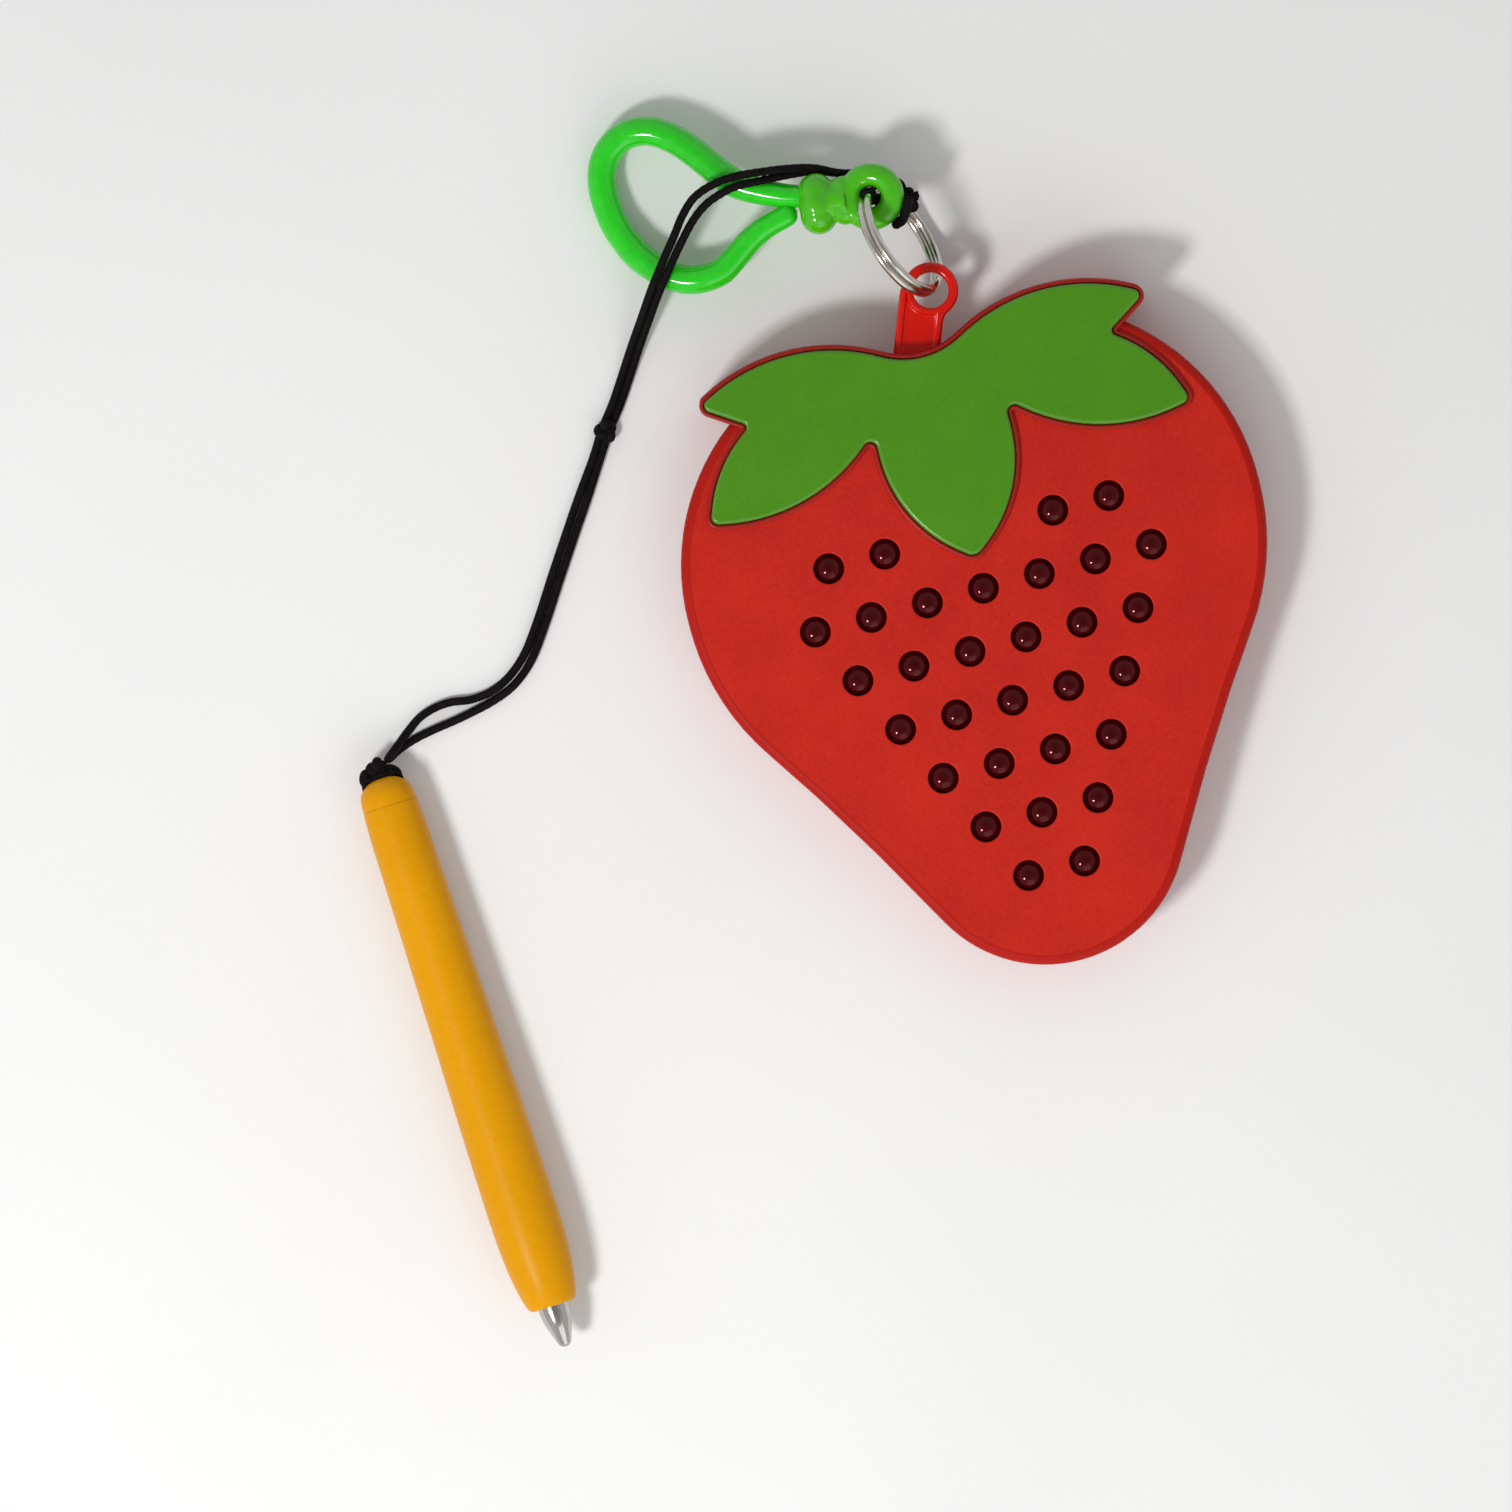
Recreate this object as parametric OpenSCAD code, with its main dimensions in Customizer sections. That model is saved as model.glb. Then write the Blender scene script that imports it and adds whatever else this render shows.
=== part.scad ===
// Strawberry-shaped magnetic bead drawing toy on a clip, with its pen on a cord.
// The toy lies on its back. The origin is the centre of the flat back face, +Z comes out of
// the bead face and +Y points to the hanging tab. Millimetres.

/* [Case] */
// Height of the red face above the back
case_t = 9; // [8.8:0.1:9.6]
// Thickness of the side walls
wall_t = 1.6; // [1.2:0.1:1.8]
// Thickness of the back
back_t = 1.4; // [1:0.1:1.6]
// Thickness of the face over the bead wells
face_t = 1; // [0.9:0.05:1.1]
// Height of the joint between the two shells
seam_z = 4.5; // [4.2:0.1:4.6]
// Width of the small step along the rims
rim_step = 0.4; // [0.2:0.1:0.6]

/* [Beads] */
// Distance between neighbouring beads in a row, and between the rows
bead_pitch = 7; // [6.8:0.1:7.2]
// Diameter of a steel bead
bead_d = 4; // [3.8:0.1:4]
// How far a bead drops when a finger pushes it down from its raised place
bead_travel = 1.6; // [1.2:0.1:1.6]
// Clearance around a bead in the soft retainer sheet
bead_fit = 0.04; // [0.02:0.01:0.08]

/* [Leaf] */
// Height of the leaf's top above the red face
leaf_rise = 1.2; // [1:0.1:1.5]
// Height of the red step around the leaf
plinth_rise = 0.6; // [0.4:0.1:0.8]
// Width of the red border around the leaf
leaf_border = 0.6; // [0.4:0.1:0.7]

/* [Tab and split ring] */
// Thickness of the hanging tab
tab_t = 2.2; // [1.8:0.1:2.3]
// Lean of the hanging tab away from +Y
tab_lean = 20.5; // [19.5:0.5:21.5]
// Outside diameter of the split ring
ring_od = 15; // [14.8:0.1:15]
// Diameter of the split ring's wire
wire_d = 1; // [0.8:0.1:1]

/* [Clip] */
// Diameter of the clip's rod round the loop
rod_d = 3.5; // [3:0.1:3.5]
// Diameter of the rod that makes the clip's eye
eye_rod_d = 2.3; // [2:0.1:2.3]
// Diameter of the collar between the eye and the loop
collar_d = 6.9; // [6:0.1:7]

/* [Cord] */
// Diameter of one strand of the cord
cord_d = 0.9; // [0.8:0.05:0.95]

/* [Pen] */
// Length of the pen with its metal nose
pen_len = 72.5; // [70:0.5:75]
// Thickness of the wall of the pen's barrel
pen_wall = 1.2; // [1:0.1:1.4]

/* [Hidden] */
red = [0.78, 0.15, 0.12];
dark_red = [0.62, 0.10, 0.08];
green = [0.30, 0.55, 0.12];
clip_green = [0.20, 0.72, 0.18];
steel = [0.55, 0.55, 0.58];
yellow = [0.88, 0.62, 0.06];
black = [0.09, 0.07, 0.06];
white = [0.92, 0.92, 0.90];

// Corners of the right half of each outline from the bottom upwards, as [x, y, rounding radius]
CASE_HALF = [
    [0, -57, 17], [23, -17.2, 150], [35.6, 1.6, 30], [35.6, 25, 27.6],
    [24, 34, 0.6], [28.9, 36.5, 1.1], [16, 43.5, 22.6], [0, 34.8, 9.4]
];
CAVITY_HALF = [[0, -57, 17], [23, -17.2, 150], [35.6, 1.6, 30], [35.6, 22.5, 22], [21, 34, 3]];
FIELD_HALF = [[5.7, -32, 3.5], [24.9, 6.5, 3.5], [19.7, 17, 3.5]];
LEAF_HALF = [
    [0, 10.3, 1.5], [8.3, 16.8, 16.5], [8.1, 28.1, 0.9], [18.1, 19.7, 21.8], [30, 22.2, 0.9],
    [27.6, 28.7, 16.5], [22.4, 32.6, 0.6], [27.9, 36.2, 0.8], [16, 42.6, 22], [0, 34, 10]
];
// Largest turn between two neighbouring points of a rounded corner
arc_step = 6;

// Beads in each row from the tip of the berry upwards; the leaf's tip takes the middle of the last row
ROW_COUNT = [2, 3, 4, 5, 6, 7, 6];
top_row_gap = 7;
row_0_y = -28.5;
hole_d = bead_d - 0.3;
well_d = bead_d + 0.3;
face_under = case_t - face_t;
bead_high_z = face_under - sqrt(bead_d * bead_d - hole_d * hole_d) / 2 - 0.04;
bead_low_z = bead_high_z - bead_travel;
retainer_z = 6;
retainer_t = 0.5;
tray_bottom_z = 2.8;

plinth_z = case_t + plinth_rise;
leaf_top_z = case_t + leaf_rise;
pocket_z = case_t - 0.3;
leaf_gap = 0.05;
PEG_AT = [[-15, 30], [15, 30], [0, 21]];
peg_d = 2;
peg_end_z = 7;

SCREW_AT = [[-26.5, 22.5], [26.5, 22.5], [0, -35.2]];
boss_d = 5.2;
screw_d = 2;
screw_top_z = 7.2;
head_d = 3.8;
head_z = 0.3;
head_top_z = 1.7;

tab_base = [-0.45, 36.5];
tab_reach = 7.6;
tab_w = 5.6;
tab_z = 5.1;
eyelet_d = 6.8;
eyelet_hole_d = 4.3;
// Centre of the eyelet across and along the leaning stem
eyelet_on_stem = [0.9, 7.3];
eyelet_at = tab_base + eyelet_on_stem.x * [cos(tab_lean), -sin(tab_lean)]
    + eyelet_on_stem.y * [sin(tab_lean), cos(tab_lean)];
foot = [10, 3.2];
foot_y = 30.4;

ring_at = [1, 49.7, 7.1];
ring_yaw = 107.5;
ring_lean = 25;
coil_gap = 0.98;

// The clip lies with its eye raised on the split ring and the far end of its loop on the floor
clip_eye = [-1.2, 55.75, 8.2];
eye_r = 2.9;
clip_pitch = 11.6;
collar_x = -7.8;
collar_y = 56.6;
collar_side_r = 2.6;
neck_d = 4;
HOOK_ROUTE = [
    [-8.5, 57.8], [-11, 58.5], [-13.8, 59.8], [-16.4, 61.4], [-18.4, 63.6], [-20.3, 66.2],
    [-22.4, 68.6], [-24.8, 70.3], [-27.2, 70.8], [-29.4, 70.2], [-31.2, 68.6], [-32.2, 66.2],
    [-32.4, 63.4], [-31.9, 60], [-30.6, 56.8], [-28.6, 54.2], [-27.6, 53.3]
];
GATE_ROUTE = [
    [-26, 52.2], [-23.6, 51.5], [-21, 51.7], [-18.8, 53], [-16.6, 54.5], [-14.4, 55.5], [-12, 56]
];
gate_tip_d = 2.4;
rod_slim = 0.45;
slim_steps = 9;
rod_sides = 20;

// Each strand runs from the hitch on the eye, over the clip's loop and along the floor to the pen
STRAND_A = [
    [3.1, 55.6, 6.6], [2.3, 56.9, 6.3], [0.9, 58, 6.2], [-1.3, 58.8, 6.1], [-4.2, 59.6, 6.2],
    [-7, 60.9, 6.6], [-10, 61.6, 7.1], [-13, 62, 7.5], [-16.5, 62.3, 7.7], [-19.4, 62, 7.6],
    [-21.9, 61.1, 7.1], [-23.8, 59.4, 6.6], [-25.4, 57.3, 6.2], [-27.4, 54.8, 5.6], [-29.6, 51.9, 4.9],
    [-31.8, 48.7, 3], [-34, 45.5, 1.2], [-35.8, 42.7, 0.5], [-37.7, 39.8, 0.5], [-39.8, 37, 0.5],
    [-41.8, 33.8, 0.5], [-44.6, 29.8, 0.5], [-47.4, 25.6, 0.5], [-50.4, 21, 0.5], [-53.2, 16.6, 0.5],
    [-55.8, 13, 0.5], [-58.4, 10.7, 0.5], [-61, 9.5, 0.5], [-63.6, 9.2, 0.5], [-66, 9.5, 0.5],
    [-68.2, 9.3, 0.5], [-70.2, 8.6, 0.5], [-71.9, 7.4, 0.9], [-73.6, 6, 1.9], [-74.8, 5, 2.9],
    [-75.5, 4.6, 3.4]
];
STRAND_B = [
    [3.1, 55.6, 5.6], [2.1, 56.9, 5.3], [0.7, 58, 5.1], [-1.4, 58.7, 5], [-4.2, 59.6, 5.1],
    [-7, 60.6, 5.5], [-10, 60.9, 6.2], [-13, 61, 7.2], [-16.5, 61.1, 7.7], [-18.7, 60.7, 7.5],
    [-20.8, 59.9, 7], [-22.7, 58.5, 6.6], [-24.5, 56.6, 6.2], [-26.6, 54.1, 5.6], [-28.8, 51.3, 4.9],
    [-31, 48.2, 3], [-33.2, 45, 1.2], [-35, 42.2, 0.5], [-37, 39.2, 0.5], [-39.1, 36.4, 0.5],
    [-41.1, 33.3, 0.5], [-43.7, 29.2, 0.5], [-46.5, 25, 0.5], [-49.5, 20.4, 0.5], [-52.4, 15.9, 0.5],
    [-55.2, 12, 0.5], [-58, 9.6, 0.5], [-60.8, 8.4, 0.5], [-63.6, 7.7, 0.5], [-66.2, 7.2, 0.5],
    [-68.8, 6.8, 0.5], [-71.2, 6.3, 0.5], [-73.3, 5.6, 0.7], [-74.6, 4.9, 1.5], [-75.4, 4.4, 2.2]
];
hitch_angles = [-25, -62];
hitch_bridge_inset = 3;
hitch_open = 160;
hitch_knot = [3.3, 53.8, 7.5];
hitch_knot_d = 2.2;
lower_turn = [3.2, 54.8, 6.5];
mid_knot = [-39.4, 36.6, 1.1];
mid_knot_yaw = 54;
pen_knot = [-76.7, 4, 3.3];
knot_d = 2.4;
lower_turn_d = 1.8;
mid_knot_d = 2.1;
mid_turn_r = 0.65;
PEN_LOOP = [
    [-77.4, 4, 3.4], [-78.2, 3.7, 3.5], [-78.6, 3.1, 3.5], [-78.5, 2.3, 3.5], [-78.5, 1.5, 3.5],
    [-78.2, 0.9, 3.5], [-77.5, 0.7, 3.5], [-76.3, 0.8, 3.5], [-75.1, 0.9, 3.5], [-74.5, 1.1, 3.5],
    [-74.3, 1.7, 3.5], [-74.3, 2.5, 3.5], [-74.5, 3.2, 3.4], [-75.1, 3.6, 3.3], [-75.9, 3.8, 3.2]
];

// The pen's axis runs from its round top to its tip; both of its ends rest on the floor
pen_top = [-76.45, 2.7, 3.45];
pen_yaw = 3.45;
pen_dip = 0.9;
cap_len = 3.5;
// Radius of the pen at distances from its round top, as [radius, distance]
CAP_SIDE = [[0, 0], [1.2, 0.1], [2, 0.4], [2.6, 0.85], [3, 1.4], [3.22, 2], [3.33, 2.7], [3.35, 3.4]];
BARREL_SIDE = [
    [3.4, 3.7], [3.55, 7], [3.65, 14], [3.8, 24], [3.95, 34], [4.1, 43], [4.2, 52],
    [4.2, 57], [4.1, 60], [3.9, 62.5], [3.6, 64.6], [3.25, 66.2], [2.9, 67.2]
];
NOSE_SIDE = [
    [1.9, 67.2], [1.85, 68.2], [1.7, 69.2], [1.45, 70.2], [1.1, 71.2], [0.8, 72], [0.45, 72.4], [0, 72.5]
];
cap_r = 3.35;
tenon_bore_r = 3.4 - pen_wall;
tenon_len = 5;
barrel_end = 67.2;
magnet_bore_r = 3.8 - pen_wall;
magnet_bore_end = 62;
magnet_at = 54;
magnet_len = 4;
nose_stem_d = 3.4;
nose_stem_len = 9;
cross_bore_at = 1.9;
cross_bore_d = 1.3;
cross_slot_at = 1.55;

smooth = 48;
tube_sides = 8;

// Outlines: a corner is rounded by an arc, and inset moves the whole outline inwards
function xy(p) = [p.x, p.y];
function unit(v) = v / norm(v);
function left_of(v) = [-v.y, v.x];
function turned(v, a) = [v.x * cos(a) - v.y * sin(a), v.x * sin(a) + v.y * cos(a)];
function both_sides(half) = concat(half,
    [for (i = [len(half) - 1:-1:0]) if (half[i].x > 0) [-half[i].x, half[i].y, half[i][2]]]);
function rounded_corner(a, b, c, inset) =
    let (u = unit(xy(b) - xy(a)),
         v = unit(xy(c) - xy(b)),
         turn = atan2(u.x * v.y - u.y * v.x, u * v),
         side = sign(turn),
         r = b[2] - side * inset,
         corner = xy(b) + inset / (1 + u * v) * (left_of(u) + left_of(v)),
         centre = corner - u * r * tan(abs(turn) / 2) + side * r * left_of(u),
         steps = r > 0.01 ? max(1, ceil(abs(turn) / arc_step)) : 1)
    r > 0.01 ? [for (k = [0:steps]) centre - turned(side * r * left_of(u), turn * k / steps)] : [corner];
function outline(half, inset = 0) =
    let (all = both_sides(half), n = len(all))
    [for (i = [0:n - 1]) each rounded_corner(all[(i + n - 1) % n], all[i], all[(i + 1) % n], inset)];

// Curves: a smooth line through the points of a route, and a tube along it
function between(p0, p1, p2, p3, t) =
    0.5 * (2 * p1 + (p2 - p0) * t + (2 * p0 - 5 * p1 + 4 * p2 - p3) * t * t
        + (3 * p1 - p0 - 3 * p2 + p3) * t * t * t);
function smooth_line(p, n) =
    let (last = len(p) - 1)
    concat([for (i = [0:last - 1]) for (k = [0:n - 1])
        between(p[max(i - 1, 0)], p[i], p[i + 1], p[min(i + 2, last)], k / n)], [p[last]]);
function ring_of_tube(at, along, r, sides) =
    let (flat = unit(cross(along, [0, 0, 1])), up = cross(flat, along))
    [for (k = [0:sides - 1]) at + r * (cos(360 * k / sides) * flat + sin(360 * k / sides) * up)];
module tube(line, radii, sides) {
    n = len(line);
    points = [for (i = [0:n - 1]) each ring_of_tube(line[i],
        unit(line[min(i + 1, n - 1)] - line[max(i - 1, 0)]), radii[i], sides)];
    walls = [for (i = [0:n - 2]) for (k = [0:sides - 1])
        let (a = i * sides + k, b = i * sides + (k + 1) % sides)
        each [[a, b, b + sides], [a, b + sides, a + sides]]];
    caps = [[for (k = [sides - 1:-1:0]) k], [for (k = [0:sides - 1]) (n - 1) * sides + k]];
    polyhedron(points, concat(walls, caps));
}
module rounded_tube(line, radii, sides) {
    n = len(line) - 1;
    back = unit(line[0] - line[1]);
    ahead = unit(line[n] - line[n - 1]);
    start = [for (a = [75, 50, 25]) line[0] + radii[0] * sin(a) * back];
    end = [for (a = [25, 50, 75]) line[n] + radii[n] * sin(a) * ahead];
    start_r = [for (a = [75, 50, 25]) radii[0] * cos(a)];
    end_r = [for (a = [25, 50, 75]) radii[n] * cos(a)];
    tube(concat(start, line, end), concat(start_r, radii, end_r), sides);
}

// Height on the pitched clip
function clip_z(x) = clip_eye.z + (x - clip_eye.x) * tan(clip_pitch);
function on_clip(route) = [for (p = route) [p.x, p.y, clip_z(p.x)]];

// Bead places: rows of 2, 3, 4 ... beads, half a pitch apart sideways
function row_x(row, k) = (k - (ROW_COUNT[row] - 1) / 2) * bead_pitch;
BEAD_AT = [for (row = [0:len(ROW_COUNT) - 1]) for (k = [0:ROW_COUNT[row] - 1])
    if (row < len(ROW_COUNT) - 1 || abs(row_x(row, k)) > top_row_gap)
        [row_x(row, k), row_0_y + row * bead_pitch]];
function bead_name(i) = str("bead_", i < 9 ? "0" : "", i + 1);

module slab(half, inset, low, high) {
    translate([0, 0, low]) linear_extrude(high - low) polygon(outline(half, inset));
}

module post(at, d, low, high) {
    translate([at.x, at.y, low]) cylinder(d = d, h = high - low, $fn = smooth);
}

module tab_slot(extra) {
    translate([tab_base.x, tab_base.y, tab_z - extra])
        rotate([0, 0, -tab_lean])
        translate([-tab_w / 2 - extra, -6, 0])
        cube([tab_w + 2 * extra, 12, tab_t + 2 * extra]);
}

// Red front shell: the face with its row of wells, the plinth under the leaf and the screw posts
module front_cover() {
    pad_z = retainer_z + retainer_t;
    color(red) difference() {
        union() {
            difference() {
                union() {
                    slab(CASE_HALF, 0, seam_z, case_t - rim_step);
                    slab(CASE_HALF, rim_step, case_t - rim_step, case_t);
                    translate([0, 0, case_t - rim_step]) linear_extrude(plinth_rise + rim_step)
                        intersection() {
                            polygon(outline(CASE_HALF));
                            polygon(outline(LEAF_HALF, -leaf_border));
                        }
                }
                slab(CAVITY_HALF, wall_t, seam_z - 1, face_under);
            }
            slab(FIELD_HALF, 0, pad_z, face_under + 0.1);
            for (at = SCREW_AT) post(at, boss_d, seam_z, face_under + 0.1);
            translate([-foot.x / 2, foot_y - foot.y / 2, tab_z + tab_t + 0.05])
                cube([foot.x, foot.y, face_under - tab_z - tab_t]);
        }
        slab(LEAF_HALF, 0, pocket_z, plinth_z + 1);
        for (at = BEAD_AT) {
            post(at, hole_d, face_under - 1, case_t + 1);
            post(at, well_d, pad_z - 1, face_under);
        }
        for (at = SCREW_AT) post(at, screw_d + 0.1, seam_z - 1, screw_top_z + 0.2);
        for (at = PEG_AT) post(at, peg_d + 0.1, peg_end_z - 0.5, pocket_z + 1);
        tab_slot(0.05);
    }
}

// Green leaf: a plate that drops into the plinth's pocket, held by three pegs
module leaf_plate() {
    color(green) {
        slab(LEAF_HALF, leaf_gap, pocket_z, leaf_top_z - 0.25);
        slab(LEAF_HALF, leaf_gap + 0.25, leaf_top_z - 0.25, leaf_top_z);
        for (at = PEG_AT) post(at, peg_d, peg_end_z, pocket_z + 0.1);
    }
}

// Soft sheet whose holes grip each bead at the height where it is left
module bead_retainer() {
    color(white) difference() {
        slab(FIELD_HALF, 0, retainer_z, retainer_z + retainer_t);
        for (at = BEAD_AT) post(at, bead_d + 2 * bead_fit, retainer_z - 1, retainer_z + retainer_t + 1);
    }
}

// Block of wells that the beads drop into
module bead_tray() {
    color(dark_red) difference() {
        slab(FIELD_HALF, 0, tray_bottom_z, retainer_z);
        for (at = BEAD_AT) post(at, well_d, bead_low_z - bead_d / 2, retainer_z + 1);
    }
}

// Red back shell with screw posts, ribs under the tray and a locating lip
module back_cover() {
    rib_w = 1.2;
    rib_len = 60;
    lip_t = 0.7;
    lip_h = 0.5;
    color(red) difference() {
        union() {
            difference() {
                union() {
                    slab(CASE_HALF, rim_step, 0, rim_step);
                    slab(CASE_HALF, 0, rim_step, seam_z);
                }
                slab(CAVITY_HALF, wall_t, back_t, seam_z + 1);
            }
            difference() {
                slab(CAVITY_HALF, wall_t + 0.05, seam_z - 1, seam_z + lip_h);
                slab(CAVITY_HALF, wall_t + lip_t, seam_z - 2, seam_z + 1);
                for (at = SCREW_AT) post(at, boss_d + 0.2, seam_z, seam_z + 1);
            }
            intersection() {
                slab(FIELD_HALF, 1, back_t - 0.1, tray_bottom_z);
                for (row = [0:2:len(ROW_COUNT) - 1])
                    translate([-rib_len / 2, row_0_y + row * bead_pitch - rib_w / 2, 0])
                        cube([rib_len, rib_w, seam_z]);
            }
            for (at = SCREW_AT) post(at, boss_d + 1, back_t - 0.1, seam_z - 0.05);
            translate([-foot.x / 2, foot_y - foot.y / 2, back_t - 0.1])
                cube([foot.x, foot.y, tab_z - back_t]);
        }
        for (at = SCREW_AT) {
            post(at, head_d + 0.4, -1, head_top_z);
            post(at, screw_d + 0.3, head_top_z - 0.5, seam_z + 1);
        }
    }
}

module back_screw() {
    slot = [0.6, 2.4, 0.7];
    difference() {
        union() {
            post([0, 0], head_d, head_z, head_top_z);
            post([0, 0], screw_d, head_top_z - 0.1, screw_top_z);
        }
        for (a = [0, 90]) rotate([0, 0, a]) translate([-slot.x / 2, -slot.y / 2, head_z - 0.1]) cube(slot);
    }
}

module back_screws() {
    color(steel) for (at = SCREW_AT) translate([at.x, at.y, 0]) back_screw();
}

// Red tab with the eyelet for the split ring; its foot is trapped between the shells
module hanging_tab() {
    root_len = 4.6;
    color(red) translate([0, 0, tab_z]) linear_extrude(tab_t) difference() {
        union() {
            translate(eyelet_at) circle(d = eyelet_d, $fn = smooth);
            translate(tab_base) rotate([0, 0, -tab_lean])
                translate([-tab_w / 2, -root_len]) square([tab_w, tab_reach + root_len]);
            translate([-foot.x / 2, foot_y - foot.y / 2]) square(foot);
        }
        translate(eyelet_at) circle(d = eyelet_hole_d, $fn = smooth);
    }
}

// Split ring: two coils of wire side by side
module split_ring() {
    color(steel) translate(ring_at) rotate([0, 0, ring_yaw]) rotate([-ring_lean, 0, 0]) rotate([90, 0, 0])
        for (side = [-1, 1]) translate([0, 0, side * coil_gap / 2])
            rotate_extrude($fn = 96) translate([(ring_od - wire_d) / 2, 0]) circle(d = wire_d, $fn = 24);
}

// Moulded clip: eye, neck, collar and the loop as far as its springing arm
module clip_hook() {
    loop = on_clip(smooth_line(HOOK_ROUTE, 3));
    loop_r = [for (i = [0:len(loop) - 1]) rod_d / 2 - rod_slim * max(0, 1 - i / slim_steps)];
    neck_a = atan2(collar_y - clip_eye.y, collar_x - clip_eye.x);
    neck_len = norm([collar_x, collar_y] - xy(clip_eye)) - eye_r;
    collar_at = [collar_x, collar_y, clip_z(collar_x)];
    color(clip_green) {
        difference() {
            union() {
                translate(clip_eye) rotate([0, -clip_pitch, 0])
                    rotate_extrude($fn = 72) translate([eye_r, 0]) circle(d = eye_rod_d, $fn = 32);
                translate(collar_at) rotate([0, -clip_pitch, 0]) rotate([0, 0, neck_a]) rotate([0, -90, 0])
                    cylinder(d1 = neck_d, d2 = neck_d * 0.75, h = neck_len, $fn = smooth);
            }
            translate(clip_eye) rotate([0, -clip_pitch, 0])
                cylinder(r = eye_r - eye_rod_d / 2, h = 12, center = true, $fn = smooth);
        }
        translate(collar_at) rotate([0, -clip_pitch, 0]) rotate([0, 0, neck_a]) rotate([0, 90, 0])
            rotate_extrude($fn = 72) intersection() {
                translate([collar_d / 2 - collar_side_r, 0]) circle(r = collar_side_r, $fn = 48);
                translate([0, -collar_d / 2]) square(collar_d);
            }
        tube(loop, loop_r, rod_sides);
    }
}

// Springing arm of the same moulding, which shuts against the collar
module clip_gate() {
    arm = on_clip(smooth_line(GATE_ROUTE, 4));
    n = len(arm) - 1;
    arm_r = [for (i = [0:n]) (rod_d + (gate_tip_d - rod_d) * i / n) / 2];
    color(clip_green) rounded_tube(arm, arm_r, rod_sides);
}

module cord_strand_a() {
    color(black) tube(STRAND_A, [for (p = STRAND_A) cord_d / 2], tube_sides);
}

module cord_strand_b() {
    color(black) tube(STRAND_B, [for (p = STRAND_B) cord_d / 2], tube_sides);
}

// Hitch that ties the cord round the clip's eye, with its knot at the outside
module cord_hitch() {
    wrap_r = (eye_rod_d + cord_d) / 2 + 0.04;
    bridge_from = hitch_angles[1] + hitch_bridge_inset;
    bridge_to = hitch_angles[0] - hitch_bridge_inset;
    bridge = [for (k = [0:4]) bridge_from + k * (bridge_to - bridge_from) / 4];
    color(black) {
        translate(clip_eye) rotate([0, -clip_pitch, 0]) {
            for (a = hitch_angles) rotate([0, 0, a]) translate([eye_r, 0, 0]) rotate([90, 0, 0])
                rotate([0, 0, 90 + hitch_open / 2]) rotate_extrude(angle = 360 - hitch_open, $fn = 32)
                    translate([wrap_r, 0]) circle(d = cord_d, $fn = 16);
            tube([for (a = bridge) (eye_r + wrap_r) * [cos(a), sin(a), 0.02]],
                [for (a = bridge) cord_d / 2], tube_sides);
        }
        translate(hitch_knot) sphere(d = hitch_knot_d, $fn = 24);
        translate(lower_turn) sphere(d = lower_turn_d, $fn = 24);
    }
}

// Knot half way along the cord
module cord_knot_mid() {
    color(black) translate(mid_knot) {
        sphere(d = mid_knot_d, $fn = 24);
        rotate([0, 0, mid_knot_yaw]) rotate([0, 90, 0])
            rotate_extrude($fn = 32) translate([mid_turn_r, 0]) circle(d = cord_d, $fn = 16);
    }
}

// Knot at the pen and the short loop that passes through the cap's cross bore
module cord_knot_pen() {
    color(black) {
        tube(PEN_LOOP, [for (p = PEN_LOOP) cord_d / 2], tube_sides);
        translate(pen_knot) sphere(d = knot_d, $fn = 24);
    }
}

module on_pen() {
    translate(pen_top) rotate([0, 0, 180 + pen_yaw]) rotate([pen_dip, 0, 0]) rotate([-90, 0, 0]) children();
}

module turned_body(side, closing) {
    rotate_extrude($fn = 72) polygon(concat(side, closing));
}

module pen_end_cap() {
    color(yellow) difference() {
        on_pen() union() {
            turned_body(CAP_SIDE, [[cap_r, cap_len], [0, cap_len]]);
            translate([0, 0, cap_len - 0.1]) cylinder(r = tenon_bore_r - 0.05, h = tenon_len, $fn = smooth);
        }
        on_pen() translate([0, 0, cross_bore_at]) rotate([0, 90, 0])
            cylinder(d = cross_bore_d, h = 10, center = true, $fn = 24);
        on_pen() for (side = [-1, 1]) translate([side * (cross_slot_at + 2), 0, (cross_bore_at - 1) / 2])
            cube([4, cross_bore_d, cross_bore_at + 1], center = true);
    }
}

module pen_barrel() {
    magnet_bore_start = cap_len + tenon_len;
    color(yellow) on_pen() difference() {
        turned_body(BARREL_SIDE, [[0, barrel_end], [0, cap_len], [cap_r - 0.1, cap_len]]);
        translate([0, 0, cap_len - 1]) cylinder(r = tenon_bore_r, h = tenon_len + 2, $fn = smooth);
        translate([0, 0, magnet_bore_start])
            cylinder(r = magnet_bore_r, h = magnet_bore_end - magnet_bore_start, $fn = smooth);
        cylinder(d = nose_stem_d, h = pen_len, $fn = smooth);
    }
}

module pen_magnet() {
    color(steel) on_pen() translate([0, 0, magnet_at])
        cylinder(r = magnet_bore_r - 0.1, h = magnet_len, $fn = smooth);
}

module pen_nose() {
    color(steel) on_pen() {
        turned_body(NOSE_SIDE, [[0, barrel_end]]);
        translate([0, 0, barrel_end - nose_stem_len])
            cylinder(d = nose_stem_d, h = nose_stem_len + 0.1, $fn = smooth);
    }
}

// A bead in its raised place, right under its hole
module bead(i) {
    color(steel) translate([BEAD_AT[i].x, BEAD_AT[i].y, bead_high_z]) sphere(d = bead_d, $fn = 32);
}

front_cover();
leaf_plate();
bead_retainer();
bead_tray();
back_cover();
back_screws();
hanging_tab();
split_ring();
clip_hook();
clip_gate();
cord_strand_a();
cord_strand_b();
cord_hitch();
cord_knot_mid();
cord_knot_pen();
pen_end_cap();
pen_barrel();
pen_magnet();
pen_nose();
for (i = [0:len(BEAD_AT) - 1]) bead(i);
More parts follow.
